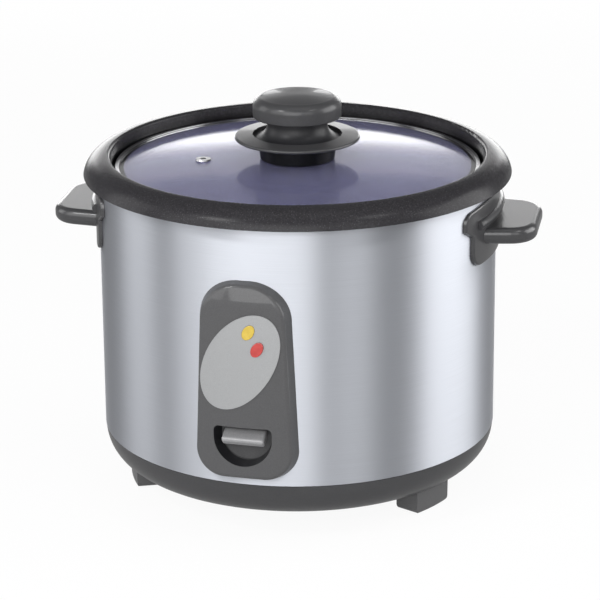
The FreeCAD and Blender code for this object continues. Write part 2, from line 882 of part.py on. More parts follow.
# Base pan: moulded tray with a spigot inside the shell and a ring of vents
base = new_body("base_pan_body")
spigot_radius = shell_inner - d.body_gap
spigot_inner = spigot_radius - d.base_wall
base_floor = d.base_underside + d.base_wall
spigot_top = base_top + d.spigot_height
turned(base, [
    (0, d.base_underside),
    (base_floor_radius, d.base_underside, d.base_side_round, 1),
    (base_radius, base_top),
    (spigot_radius, base_top),
    (spigot_radius, spigot_top),
    (spigot_inner, spigot_top),
    (spigot_inner, base_top, d.base_side_round, -1),
    (base_floor_radius, base_floor),
    (0, base_floor),
])
vent_slot = sketch(base, "XY_Plane", base_floor)
rectangle(vent_slot, -d.vent_width / 2, d.vent_inner_radius,
          d.vent_width / 2, d.vent_inner_radius + d.vent_length)
around(base, pocket(base, vent_slot, d.base_wall), d.vent_count)
post_way = polar_point(1.0, d.post_angle.value, 0)
base_hole = sketch(base, "XY_Plane", base_floor)
circle(base_hole, post_circle * post_way.x, post_circle * post_way.y, screw_hole)
around(base, pocket(base, base_hole, d.base_wall), d.post_count)
node("base_pan", base)

# Three feet under the base, each with a rubber pad let into it
feet = new_body("base_feet_body")
foot_facings = [-d.foot_spread.value, d.foot_spread.value, 180.0]
foot_root = d.base_underside - d.seat_gap
foot_top_radius = base_floor_radius - d.foot_inset
foot_outer_radius = foot_top_radius - d.foot_slope
foot_inner_radius = foot_outer_radius - d.foot_depth
pad_middle = (foot_inner_radius + foot_outer_radius - d.foot_toe) / 2
foot_inner_x = d.foot_half_width - d.foot_end_round
foot_span = foot_top_radius + d.foot_toe
for facing in foot_facings:
    foot_front = outline(sketch(feet, turn=facing), [
        (-foot_inner_x, d.foot_height),
        (foot_inner_x, d.foot_height, d.foot_end_round, 1),
        (d.foot_half_width, d.foot_height + d.foot_end_round),
        (d.foot_half_width, foot_root),
        (-d.foot_half_width, foot_root),
        (-d.foot_half_width, d.foot_height + d.foot_end_round, d.foot_end_round, 1),
    ])
    pad(feet, foot_front, foot_span)
bored(feet, [(0, 0), (foot_inner_radius, 0), (foot_inner_radius, d.base_underside), (0, d.base_underside)])
bored(feet, [
    (foot_outer_radius - d.foot_toe, 0),
    (foot_span * 2, 0),
    (foot_span * 2, d.base_underside),
    (foot_top_radius, d.base_underside),
    (foot_outer_radius, d.foot_height + d.foot_toe, d.foot_toe, -1),
    (foot_outer_radius - d.foot_toe, d.foot_height),
])
for facing in foot_facings:
    pad_hole = sketch(feet, turn=facing - 90)
    rectangle(pad_hole, pad_middle - d.pad_half_width - d.seat_gap, d.foot_height,
              pad_middle + d.pad_half_width + d.seat_gap, d.foot_height + d.pad_depth)
    cut_feature(feet, "Groove", pad_hole, ReferenceAxis=(pad_hole, ["V_Axis"]), Midplane=True,
                Angle=d.pad_half_angle * 2 + d.seat_gap * 2)
node("base_feet", feet)

pads = new_body("foot_pads_body")
for facing in foot_facings:
    turned(pads, [
        (pad_middle - d.pad_half_width, 0),
        (pad_middle + d.pad_half_width, 0),
        (pad_middle + d.pad_half_width, d.foot_height + d.pad_depth - d.seat_gap),
        (pad_middle - d.pad_half_width, d.foot_height + d.pad_depth - d.seat_gap),
    ], angle=d.pad_half_angle * 2, facing=facing)
node("foot_pads", pads)

# Posts between the base and the liner, and the screws that clamp the base to them
post_top = liner_bottom - d.seat_gap
post_bottom = base_floor + d.seat_gap
posts = new_body("mount_posts_body")
post = turned(posts, [
    (0, post_bottom + d.screw_bite),
    (d.screw_radius + d.pin_gap, post_bottom + d.screw_bite),
    (d.screw_radius + d.pin_gap, post_bottom),
    (d.post_radius, post_bottom),
    (d.post_radius, post_top),
    (0, post_top),
], (post_circle * post_way.x, post_circle * post_way.y))
around(posts, post, d.post_count)
node("mount_posts", posts)

base_screws = new_body("base_screws_body")
base_head = d.base_underside - d.seat_gap
screw = turned(base_screws, [
    (0, base_head - d.screw_head_height),
    (d.screw_head_radius, base_head - d.screw_head_height),
    (d.screw_head_radius, base_head),
    (d.screw_radius, base_head),
    (d.screw_radius, post_bottom + d.screw_bite - d.body_gap),
    (0, post_bottom + d.screw_bite - d.body_gap),
], (post_circle * post_way.x, post_circle * post_way.y))
around(base_screws, screw, d.post_count)
node("base_screws", base_screws)

# Heating plate: cast aluminium disc with the element cast into a ring below it
plate = new_body("heating_plate_body")
plate_radius = pot_bend - d.plate_inset
element_inner = d.element_circle - d.element_half_width
element_outer = d.element_circle + d.element_half_width
turned(plate, [
    (d.plate_hole_radius, plate_bottom),
    (element_inner, plate_bottom),
    (element_inner + d.element_depth, plate_bottom - d.element_depth),
    (element_outer - d.element_depth, plate_bottom - d.element_depth),
    (element_outer, plate_bottom),
    (plate_radius, plate_bottom),
    (plate_radius, plate_top - d.plate_edge_round, d.plate_edge_round, 1),
    (plate_radius - d.plate_edge_round, plate_top),
    (d.plate_hole_radius, plate_top),
])
plate_tap = sketch(plate, "XY_Plane", plate_bottom)
circle(plate_tap, d.plate_post_circle * post_way.x, d.plate_post_circle * post_way.y,
       d.screw_radius + d.pin_gap)
around(plate, pocket(plate, plate_tap, d.screw_bite, Reversed=True), d.post_count)
node("heating_plate", plate)

spacers = new_body("plate_spacers_body")
spacer = turned(spacers, [
    (screw_hole, liner_floor + d.seat_gap),
    (d.plate_post_radius, liner_floor + d.seat_gap),
    (d.plate_post_radius, plate_bottom - d.seat_gap),
    (screw_hole, plate_bottom - d.seat_gap),
], (d.plate_post_circle * post_way.x, d.plate_post_circle * post_way.y))
around(spacers, spacer, d.post_count)
node("plate_spacers", spacers)

plate_screws = new_body("plate_screws_body")
plate_head = liner_bottom - d.seat_gap
screw = turned(plate_screws, [
    (0, plate_head - d.screw_head_height),
    (d.screw_head_radius, plate_head - d.screw_head_height),
    (d.screw_head_radius, plate_head),
    (d.screw_radius, plate_head),
    (d.screw_radius, plate_bottom + d.screw_bite - d.body_gap),
    (0, plate_bottom + d.screw_bite - d.body_gap),
], (d.plate_post_circle * post_way.x, d.plate_post_circle * post_way.y))
around(plate_screws, screw, d.post_count)
node("plate_screws", plate_screws)

# Cold ends of the heating element, coming down through the liner
terminal_top = plate_bottom - d.element_depth - d.seat_gap
terminal = rod("terminal", d.terminal_radius, d.terminal_drop, Placement())
copies("heater_terminals", terminal, [
    Placement(Vector(spot.x, spot.y, terminal_top.value - d.terminal_drop.value), Rotation())
    for spot in terminal_spots
])

# Keep-warm heater: a mica band strapped round the back of the liner
warm = new_body("warm_heater_band_body")
warm_inner = liner_radius + d.seat_gap
warm_bottom = liner_bottom + d.warm_band_raise
turned(warm, [
    (warm_inner, warm_bottom),
    (warm_inner + d.warm_band_thickness, warm_bottom),
    (warm_inner + d.warm_band_thickness, warm_bottom + d.warm_band_height),
    (warm_inner, warm_bottom + d.warm_band_height),
], angle=d.warm_band_half_angle * 2, facing=180.0)
node("warm_heater_band", warm)

# Thermal fuse clipped under the liner
fuse_axis = liner_bottom - d.body_gap - d.fuse_radius
fuse_place = Placement(Vector(d.fuse_offset_x.value - d.fuse_length.value / 2, d.fuse_offset_y.value,
                              fuse_axis.value), Rotation(Vector(0, 1, 0), 90))
node("thermal_fuse", rod("thermal_fuse", d.fuse_radius, d.fuse_length, fuse_place))
clip_half = d.fuse_radius + d.seat_gap + d.fuse_clip_wall
clip = new_body("fuse_clip_body")
clip_sketch = sketch(clip, "YZ_Plane", d.fuse_offset_x)
rectangle(clip_sketch, d.fuse_offset_y - clip_half, fuse_axis - clip_half,
          d.fuse_offset_y + clip_half, liner_bottom - d.seat_gap)
pad(clip, clip_sketch, d.fuse_clip_width, Midplane=True)
clip_bore = circle(sketch(clip, "YZ_Plane", d.fuse_offset_x), d.fuse_offset_y, fuse_axis,
                   d.fuse_radius + d.seat_gap)
pocket(clip, clip_bore, d.fuse_clip_width * 2, Midplane=True)
node("fuse_clip", clip)

# Control panel bezel: a hollow arched moulding wrapped on the shell, with a D-shaped lever recess
bezel = new_body("front_bezel_body")
corner_x = d.bezel_half_width - d.bezel_bottom_round
shoulder_half = d.bezel_half_width - d.bezel_lean
arch_x = shoulder_half - d.bezel_top_round
arch_z = bezel_top - d.bezel_top_round
foot_z = bezel_bottom + d.bezel_bottom_round


def arch(made, inset):
    """Arched panel outline, drawn in from the moulding's edge."""
    return outline(made, [
        (-corner_x, bezel_bottom + inset),
        (corner_x, bezel_bottom + inset, d.bezel_bottom_round - inset, 1),
        (d.bezel_half_width - inset, foot_z),
        (shoulder_half - inset, arch_z, d.bezel_top_round - inset, 1),
        (arch_x, bezel_top - inset),
        (-arch_x, bezel_top - inset, d.bezel_top_round - inset, 1),
        (inset - shoulder_half, arch_z),
        (inset - d.bezel_half_width, foot_z, d.bezel_bottom_round - inset, 1),
    ])


def recess(made, side, centre, top, corner):
    """D-shaped outline of the lever recess, with its flat side up."""
    return outline(made, [
        (-side, centre, side, 1),
        (0, centre - side, side, 1),
        (side, centre),
        (side, top - corner, corner, 1),
        (side - corner, top),
        (corner - side, top, corner, 1),
        (-side, top - corner),
    ])


far = face_radius + d.bezel_proud
tall = bezel_top + d.bezel_proud
root_depth = (d.shell_radius * d.shell_radius - d.bezel_half_width * d.bezel_half_width).root()
panel_back = arch(sketch(bezel, lift=root_depth - d.bezel_proud), -d.bezel_draft)
panel_front = arch(sketch(bezel, lift=root_depth + d.bezel_proud * 2), d.bezel_draft * 2)
feature(bezel, "AdditiveLoft", panel_back, Sections=[panel_front], Ruled=True)
roll_start = bezel_top - d.bezel_roll_height
roll_end = face_radius - d.bezel_roll_depth
roll_arc = (d.bezel_roll_height * d.bezel_roll_height + d.bezel_roll_depth * d.bezel_roll_depth) \
    / (d.bezel_roll_depth * 2)
bored(bezel, [
    (face_radius, 0),
    (far * 2, 0),
    (far * 2, tall),
    (roll_end, tall),
    (roll_end, bezel_top, roll_arc, -1),
    (face_radius, roll_start),
])
bored(bezel, [(0, 0), (back_radius, 0), (back_radius, tall), (0, tall)])


def is_panel_rim(edge):
    """Tell whether an edge runs round the front face of the panel."""
    points = edge.discretize(5)
    reach = [math.hypot(point.x, point.y) for point in points]
    across = all(abs(point.z - roll_start.value) < 1e-3 for point in points)
    level = max(reach) - min(reach) < d.bezel_roll_depth.value
    return min(reach) > back_radius.value + d.bezel_edge_round.value and level and not across


rounded(bezel, d.bezel_edge_round, is_panel_rim)
edge_depth = (face_radius * face_radius - d.bezel_half_width * d.bezel_half_width).root()
cavity_front = edge_depth - d.bezel_front_wall
pocket(bezel, arch(sketch(bezel), d.bezel_wall + d.bezel_draft), cavity_front, Reversed=True)
recess_floor = face_radius - d.recess_depth
cup_back = recess_floor - d.recess_wall
cup = recess(sketch(bezel, lift=cup_back), d.recess_radius + d.recess_wall, recess_centre,
             recess_top + d.recess_wall, d.recess_corner + d.recess_wall)
pad(bezel, cup, cavity_front - cup_back + d.seat_gap)
floor_outline = recess(sketch(bezel, lift=recess_floor), d.recess_radius - d.recess_taper,
                       recess_centre - d.recess_sink, recess_top, d.recess_corner)
mouth_sketch = sketch(bezel, lift=face_radius + d.recess_depth / 2)
mouth_outline = recess(mouth_sketch, d.recess_radius + d.recess_taper / 2,
                       recess_centre + d.recess_sink / 2, recess_top, d.recess_corner)
cut_feature(bezel, "SubtractiveLoft", floor_outline, Sections=[mouth_outline], Ruled=True)
slot_half = d.arm_half_width + d.hole_gap * 2
lever_bottom = recess_centre - d.lever_drop
tang_bottom = lever_bottom + d.tang_rise
tang_top = tang_bottom + d.arm_thickness
slot_drop = (recess_floor - d.pivot_y) * math.radians(d.lever_swing.value)
slot_sketch = sketch(bezel, lift=cup_back)
rectangle(slot_sketch, -slot_half, tang_bottom - slot_drop - d.hole_gap * 2,
          slot_half, tang_top + d.hole_gap * 2)
pocket(bezel, slot_sketch, d.recess_wall, Reversed=True)
lamp_spots = {"warm": (d.warm_lamp_x, label_centre_z + d.warm_lamp_rise),
              "cook": (d.cook_lamp_x, label_centre_z + d.cook_lamp_rise)}
for spot in lamp_spots.values():
    lamp_hole = circle(sketch(bezel), *spot, d.lamp_half_length + d.hole_gap)
    pocket(bezel, lamp_hole, far, Reversed=True)
for height in bezel_screw_heights:
    boss = circle(sketch(bezel, lift=back_radius), 0, height, d.screw_head_radius)
    pad(bezel, boss, cavity_front - back_radius + d.seat_gap)
    bore = circle(sketch(bezel, lift=back_radius), 0, height, d.screw_radius + d.pin_gap)
    pocket(bezel, bore, cavity_front - back_radius + d.bezel_front_wall, Reversed=True)
node("front_bezel", bezel)

bezel_screw = new_body("bezel_screw_body")
bezel_screw_end = cavity_front - shell_inner + d.bezel_front_wall - d.body_gap
turned(bezel_screw, [
    (0, -d.seat_gap - d.screw_head_height),
    (d.screw_head_radius, -d.seat_gap - d.screw_head_height),
    (d.screw_head_radius, -d.seat_gap),
    (d.screw_radius, -d.seat_gap),
    (d.screw_radius, bezel_screw_end),
    (0, bezel_screw_end),
])
copies("bezel_screws", bezel_screw, [
    Placement(polar_point(shell_inner.value, 0, height.value), outward(0))
    for height in bezel_screw_heights
])

# Oval label plate and the two lamp lenses that stand through it
label_inner = face_radius + d.pin_gap
tilt = Rotation(Vector(0, -1, 0), d.label_tilt.value).multiply(Rotation(Vector(1, 0, 0), 90))


def oval(name, x, z, half_length, half_width, back, length):
    """Tilted elliptical bar that stands out of the panel from a depth behind it."""
    face = doc.addObject("Part::Ellipse", f"{name}_face")
    bind(face, "MajorRadius", half_length)
    bind(face, "MinorRadius", half_width)
    face.Placement = Placement(Vector(x.value, -back.value, z.value), tilt)
    made = doc.addObject("Part::Extrusion", name)
    made.Base = face
    made.DirMode = "Custom"
    made.Dir = Vector(0, -1, 0)
    made.Solid = True
    bind(made, "LengthFwd", length)
    return made


lens_front = face_radius + d.label_thickness + d.lamp_proud
lens_back = lens_front - d.lamp_length
label_bar = oval("label_bar", d.label_centre_x, label_centre_z, d.label_half_length, d.label_half_width,
                 d.shell_radius - d.bezel_proud, d.bezel_proud * 4)
ring_outer = rod("label_ring_outer", label_inner + d.label_thickness, tall, Placement())
ring_inner = rod("label_ring_inner", label_inner, tall, Placement())
label_ring = boolean("Cut", "label_ring", ring_outer, ring_inner)
label_blank = boolean("Common", "label_blank", label_bar, label_ring)
lamp_cuts = []
for name, (x, z) in lamp_spots.items():
    lamp_cuts.append(oval(f"{name}_lamp_cut", x, z, d.lamp_half_length + d.seat_gap,
                          d.lamp_half_width + d.seat_gap, lens_back, d.lamp_length * 2))
node("label_plate", boolean("Cut", "label_plate", label_blank, together("lamp_cuts", lamp_cuts)))
for name, (x, z) in lamp_spots.items():
    bar = oval(f"{name}_lamp_bar", x, z, d.lamp_half_length, d.lamp_half_width, lens_back, d.lamp_length)
    doc.recompute()
    lens = doc.addObject("Part::Fillet", f"{name}_lamp_lens")
    lens.Base = bar
    crown = [(index, d.lamp_edge_round.value, d.lamp_edge_round.value)
             for index, edge in enumerate(bar.Shape.Edges, start=1)
             if all(abs(point.y + lens_front.value) < 1e-3 for point in edge.discretize(5))]
    lens.Edges = crown
    node(f"{name}_lamp_lens", lens)

# Lamp carrier behind the lenses and the two neon lamps in it
carrier = new_body("lamp_carrier_body")
carrier_front = cavity_front - d.seat_gap
carrier_back = carrier_front - d.carrier_depth
rectangle_sides = (-d.carrier_half_width, carrier_bottom, d.carrier_half_width, carrier_top)
pad(carrier, rectangle(sketch(carrier, lift=carrier_back), *rectangle_sides), d.carrier_depth)
carrier_inside = sketch(carrier, lift=carrier_back + d.carrier_wall)
rectangle(carrier_inside, d.carrier_wall - d.carrier_half_width, carrier_bottom + d.carrier_wall,
          d.carrier_half_width - d.carrier_wall, carrier_top - d.carrier_wall)
pocket(carrier, carrier_inside, d.carrier_depth, Reversed=True)
node("lamp_carrier", carrier)

neon_depth = carrier_back + d.carrier_wall + d.body_gap + d.neon_radius
neon_lamps = []
for name, (x, z) in lamp_spots.items():
    place = Placement(Vector(x.value, -neon_depth.value, z.value - d.neon_length.value / 2), Rotation())
    neon_lamps.append(rod(f"{name}_neon", d.neon_radius, d.neon_length, place))
neons = doc.addObject("Part::Compound", "neon_lamps")
neons.Links = neon_lamps
node("neon_lamps", neons)

# Side handle: a saddle plate that hugs the shell, with a flat shelf to lift by and a rib over its root
saddle = new_body("handle_saddle_body")
wing_top = liner_top - d.wing_drop
wing_shoulder = wing_top - d.wing_height
wing_bottom = wing_shoulder - d.wing_slope
leg_bottom = wing_bottom - d.leg_height
wing_inner = d.wing_half_width - d.wing_round
leg_inner = d.leg_half_width - d.leg_round
crown_arc = (wing_inner * wing_inner + d.crown_rise * d.crown_rise) / (d.crown_rise * 2)
outline_sketch = outline(sketch(saddle), [
    (-leg_inner, leg_bottom),
    (leg_inner, leg_bottom, d.leg_round, 1),
    (d.leg_half_width, leg_bottom + d.leg_round),
    (d.leg_half_width, wing_bottom),
    (d.wing_half_width, wing_shoulder),
    (d.wing_half_width, wing_top - d.wing_round, d.wing_round, 1),
    (wing_inner, wing_top, crown_arc, 1),
    (-wing_inner, wing_top, d.wing_round, 1),
    (-d.wing_half_width, wing_top - d.wing_round),
    (-d.wing_half_width, wing_shoulder),
    (-d.leg_half_width, wing_bottom),
    (-d.leg_half_width, leg_bottom + d.leg_round, d.leg_round, 1),
])
saddle_radius = d.shell_radius + d.saddle_proud
pad(saddle, outline_sketch, far)
saddle_top = wing_top + d.crown_rise * 2
bored(saddle, [(saddle_radius, 0), (far * 2, 0), (far * 2, saddle_top), (saddle_radius, saddle_top)])
bored(saddle, [(0, 0), (back_radius, 0), (back_radius, saddle_top), (0, saddle_top)])
rounded(saddle, d.saddle_edge_round, lambda edge: at_radius(edge, saddle_radius.value))
rib_bottom = shelf_top + d.rib_height / 4
rib_round = d.rib_height / 2
rib_root = d.shell_radius + d.rib_proud - rib_round
turned(saddle, [
    (back_radius, rib_bottom),
    (rib_root, rib_bottom, rib_round, 1),
    (rib_root + rib_round, rib_bottom + rib_round, rib_round, 1),
    (rib_root, rib_bottom + d.rib_height),
    (back_radius, rib_bottom + d.rib_height),
], angle=d.rib_half_angle * 2, facing=0.0)

shelf = new_body("handle_shelf_body")
shelf_reach = d.shell_radius + d.shelf_length
root_radius = (back_radius + saddle_radius) / 2
root_y = (root_radius * root_radius - d.shelf_root_half_width * d.shelf_root_half_width).root()
shelf_plan = outline(sketch(shelf, "XY_Plane", shelf_top - d.shelf_thickness), [
    (-d.shelf_root_half_width, -root_y),
    (-d.shelf_tip_half_width, -shelf_reach),
    (d.shelf_tip_half_width, -shelf_reach),
    (d.shelf_root_half_width, -root_y, root_radius, -1),
])
pad(shelf, shelf_plan, d.shelf_thickness)


def is_tip_corner(edge):
    """Tell whether an edge is an upright corner at the tip of the shelf."""
    ends = [vertex.Point for vertex in edge.Vertexes]
    return all(abs(point.y + shelf_reach.value) < 1e-3 for point in ends) and abs(ends[0].z - ends[1].z) > 1


rounded(shelf, d.shelf_corner, is_tip_corner)


def is_shelf_rim(edge):
    """Tell whether an edge runs round the free sides of the shelf's top or underside."""
    points = edge.discretize(5)
    level = max(point.z for point in points) - min(point.z for point in points) < 1e-3
    return level and not at_radius(edge, root_radius.value)


rounded(shelf, d.shelf_edge_round, is_shelf_rim)
handle_blank = boolean("Fuse", "handle_blank", saddle, shelf)
handle_drills = []
for side in (-1, 1):
    turn = side * d.handle_screw_angle.value
    place = Placement(polar_point(shell_inner.value, turn, screw_height.value), outward(turn))
    handle_drills.append(rod(f"handle_drill_{side + 1}", d.screw_radius + d.pin_gap,
                             d.handle_screw_bite + d.shell_wall, place))
handle = boolean("Cut", "handle", handle_blank, together("handle_drills", handle_drills))
doc.recompute()
for label, facing in handle_facings.items():
    copies(label, handle, [Placement(Vector(), Rotation(Vector(0, 0, 1), facing))])

handle_screw = new_body("handle_screw_body")
turned(handle_screw, [
    (0, -d.seat_gap - d.screw_head_height),
    (d.screw_head_radius, -d.seat_gap - d.screw_head_height),
    (d.screw_head_radius, -d.seat_gap),
    (d.screw_radius, -d.seat_gap),
    (d.screw_radius, d.handle_screw_bite),
    (0, d.handle_screw_bite),
])
copies("handle_screws", handle_screw, [
    Placement(polar_point(shell_inner.value, turn, screw_height.value), outward(turn))
    for turn in screw_turns
])

# Cook lever: a knob in the recess on a bent arm that rocks on a pin and lifts the magnet
knob = new_body("lever_knob_body")
lever_top = lever_bottom + d.lever_height
lever_back = recess_floor + d.lever_gap
lever_brow = lever_back + d.lever_shelf
lever_front = face_radius + d.lever_stand
lever_chin = lever_front - d.lever_chin_inset
nose_height = lever_bottom + d.lever_nose_rise
knob_side = outline(sketch(knob, "YZ_Plane"), [
    (-lever_back, lever_top),
    (-lever_brow, lever_top),
    (-lever_front, nose_height),
    (-lever_chin, lever_bottom),
    (-lever_back, lever_bottom + d.lever_heel_rise),
])
pad(knob, knob_side, d.lever_half_width * 2, Midplane=True)


def runs_across(edge, depth, height):
    """Tell whether an edge runs across the lever at a depth and a height."""
    return all(abs(point.y + depth.value) < 1e-3 and abs(point.z - height.value) < 1e-3
               for point in edge.discretize(3))


rounded(knob, d.lever_brow_round, lambda edge: runs_across(edge, lever_brow, lever_top))
rounded(knob, d.lever_nose_round, lambda edge: runs_across(edge, lever_front, nose_height)
        or runs_across(edge, lever_chin, lever_bottom))


def is_knob_end(edge):
    """Tell whether an edge lies on one end of the lever knob."""
    return all(abs(abs(point.x) - d.lever_half_width.value) < 1e-3 for point in edge.discretize(5))


rounded(knob, d.lever_end_round, is_knob_end)
socket_half = d.arm_half_width + d.seat_gap
arm_tip = lever_back + d.tang_length
knob_socket = sketch(knob, lift=lever_back)
rectangle(knob_socket, -socket_half, tang_bottom - d.seat_gap, socket_half, tang_top + d.seat_gap)
pocket(knob, knob_socket, d.tang_length + d.seat_gap, Reversed=True)
node("lever_knob", knob)

arm = new_body("lever_arm_body")
arm_bend = lever_back - d.arm_bend_inset
arm_elbow = arm_bend - d.arm_elbow_inset
elbow_top = tang_top - d.arm_elbow_drop
pivot_z = liner_bottom - d.pivot_drop
arm_low = pivot_z - d.arm_sink
arm_half = d.arm_thickness / 2
arm_side = outline(sketch(arm, "YZ_Plane"), [
    (-arm_tip, tang_bottom),
    (-arm_bend - arm_half, tang_bottom),
    (-arm_elbow - arm_half, elbow_top - d.arm_thickness),
    (-d.pivot_y, pivot_z - arm_half),
    (-d.arm_flat, arm_low),
    (d.arm_end, arm_low),
    (d.arm_end, arm_low + d.arm_thickness),
    (-d.arm_flat, arm_low + d.arm_thickness),
    (-d.pivot_y, pivot_z + arm_half),
    (-arm_elbow, elbow_top),
    (-arm_bend, tang_top),
    (-arm_tip, tang_top),
])
pad(arm, arm_side, d.arm_half_width * 2, Midplane=True)
arm_boss = circle(sketch(arm, "YZ_Plane"), -d.pivot_y, pivot_z, d.pivot_boss_radius)
pad(arm, arm_boss, d.pivot_boss_half_width * 2, Midplane=True)
arm_eye = circle(sketch(arm, "XY_Plane", arm_low), 0, 0, d.arm_end)
pad(arm, arm_eye, d.arm_thickness)
pin_hole = d.pivot_radius + d.pin_gap
arm_bore = circle(sketch(arm, "YZ_Plane"), -d.pivot_y, pivot_z, pin_hole)
pocket(arm, arm_bore, d.pivot_boss_half_width * 4, Midplane=True)
eye_bore = circle(sketch(arm, "XY_Plane", arm_low), 0, 0, d.arm_hole_radius)
pocket(arm, eye_bore, d.arm_thickness, Reversed=True)
node("lever_arm", arm)

# Bracket under the liner that carries the lever's pivot pin
bracket = new_body("lever_bracket_body")
cheek_inner = d.pivot_boss_half_width + d.cheek_gap
cheek_outer = cheek_inner + d.bracket_sheet
bracket_top = liner_bottom - d.seat_gap
bracket_foot = pivot_z - d.bracket_skirt
channel = outline(sketch(bracket, lift=d.pivot_y - d.bracket_length / 2), [
    (-cheek_outer, bracket_foot),
    (-cheek_inner, bracket_foot),
    (-cheek_inner, bracket_top - d.bracket_sheet),
    (cheek_inner, bracket_top - d.bracket_sheet),
    (cheek_inner, bracket_foot),
    (cheek_outer, bracket_foot),
    (cheek_outer, bracket_top),
    (-cheek_outer, bracket_top),
])
pad(bracket, channel, d.bracket_length)
bracket_bore = circle(sketch(bracket, "YZ_Plane"), -d.pivot_y, pivot_z, pin_hole)
pocket(bracket, bracket_bore, cheek_outer * 4, Midplane=True)
node("lever_bracket", bracket)
pin_length = (cheek_outer + d.pivot_radius) * 2
pin_place = Placement(Vector(-pin_length.value / 2, -d.pivot_y.value, pivot_z.value),
                      Rotation(Vector(0, 1, 0), 90))
node("lever_pivot_pin", rod("lever_pivot_pin", d.pivot_radius, pin_length, pin_place))

# Heater switch above the arm, with its plunger
switch = new_body("heater_switch_body")
switch_plan = rectangle(sketch(switch, "XY_Plane", bracket_top - d.switch_height), -d.switch_half_width,
                        -d.switch_centre_y - d.switch_length / 2, d.switch_half_width,
                        -d.switch_centre_y + d.switch_length / 2)
pad(switch, switch_plan, d.switch_height)
arm_fall = (pivot_z + arm_half - arm_low - d.arm_thickness) / (d.pivot_y - d.arm_flat)
arm_at_switch = pivot_z + arm_half - arm_fall * (d.pivot_y - d.switch_centre_y)
plunger_tip = arm_at_switch + d.plunger_gap
plunger_top = plunger_tip + d.plunger_length
switch_bore = circle(sketch(switch, "XY_Plane", bracket_top - d.switch_height), 0, -d.switch_centre_y,
                     d.plunger_radius + d.pin_gap)
bore_depth = plunger_top + d.plunger_travel - bracket_top + d.switch_height
pocket(switch, switch_bore, bore_depth, Reversed=True)
node("heater_switch", switch)
plunger_place = Placement(Vector(0, -d.switch_centre_y.value, plunger_tip.value), Rotation())
node("switch_plunger", rod("switch_plunger", d.plunger_radius, d.plunger_length, plunger_place))

# Thermostat: a sprung cap in the plate's hole with a soft ferrite, and a magnet that the lever lifts
sensor_under = plate_top - d.sensor_cap_height
sensor_cap = new_body("sensor_cap_body")
turned(sensor_cap, [
    (0, sensor_under),
    (d.sensor_radius, sensor_under),
    (d.sensor_radius, plate_top - d.sensor_cap_height / 2, d.sensor_cap_height / 2, 1),
    (d.sensor_radius - d.sensor_cap_height / 2, plate_top),
    (0, plate_top),
])
node("sensor_cap", sensor_cap)
sleeve = new_body("sensor_sleeve_body")
sleeve_top = sensor_under - d.pin_gap
sleeve_bottom = sleeve_top - d.sleeve_length
rod_hole = d.rod_radius + d.hole_gap * 2
turned(sleeve, [
    (rod_hole, sleeve_bottom),
    (d.sleeve_radius, sleeve_bottom),
    (d.sleeve_radius, sleeve_top),
    (d.sleeve_radius - d.sleeve_wall, sleeve_top),
    (d.sleeve_radius - d.sleeve_wall, sleeve_bottom + d.sleeve_wall),
    (rod_hole, sleeve_bottom + d.sleeve_wall),
])
node("sensor_sleeve", sleeve)
ferrite_bottom = sleeve_top - d.ferrite_height
ferrite_place = Placement(Vector(0, 0, ferrite_bottom.value), Rotation())
node("sensor_ferrite", rod("sensor_ferrite", d.ferrite_radius, d.ferrite_height, ferrite_place))
magnet_bottom = ferrite_bottom - d.magnet_gap - d.magnet_height
magnet_place = Placement(Vector(0, 0, magnet_bottom.value), Rotation())
node("lift_magnet", rod("lift_magnet", d.magnet_radius, d.magnet_height, magnet_place))
lifter = new_body("magnet_rod_body")
holder_top = magnet_bottom - d.pin_gap
holder_bottom = holder_top - d.holder_height
shoulder_bottom = arm_low + d.arm_thickness + d.rod_shoulder_gap
shoulder_top = shoulder_bottom + d.rod_shoulder_height
clip_top = arm_low - d.rod_clip_gap
clip_bottom = clip_top - d.rod_clip_height
rod_bottom = clip_bottom - d.rod_tip
turned(lifter, [
    (0, rod_bottom),
    (d.rod_radius, rod_bottom),
    (d.rod_radius, clip_bottom),
    (d.rod_clip_radius, clip_bottom),
    (d.rod_clip_radius, clip_top),
    (d.rod_radius, clip_top),
    (d.rod_radius, shoulder_bottom),
    (d.rod_shoulder_radius, shoulder_bottom),
    (d.rod_shoulder_radius, shoulder_top),
    (d.rod_radius, shoulder_top),
    (d.rod_radius, holder_bottom),
    (d.holder_radius, holder_bottom),
    (d.holder_radius, holder_top),
    (0, holder_top),
])
node("magnet_rod", lifter)
seat = new_body("sensor_seat_body")
turned(seat, [
    (d.sleeve_radius + d.hole_gap, bracket_top - d.bracket_sheet),
    (d.seat_plate_radius, bracket_top - d.bracket_sheet),
    (d.seat_plate_radius, bracket_top),
    (d.sleeve_radius + d.hole_gap, bracket_top),
])
node("sensor_seat", seat)


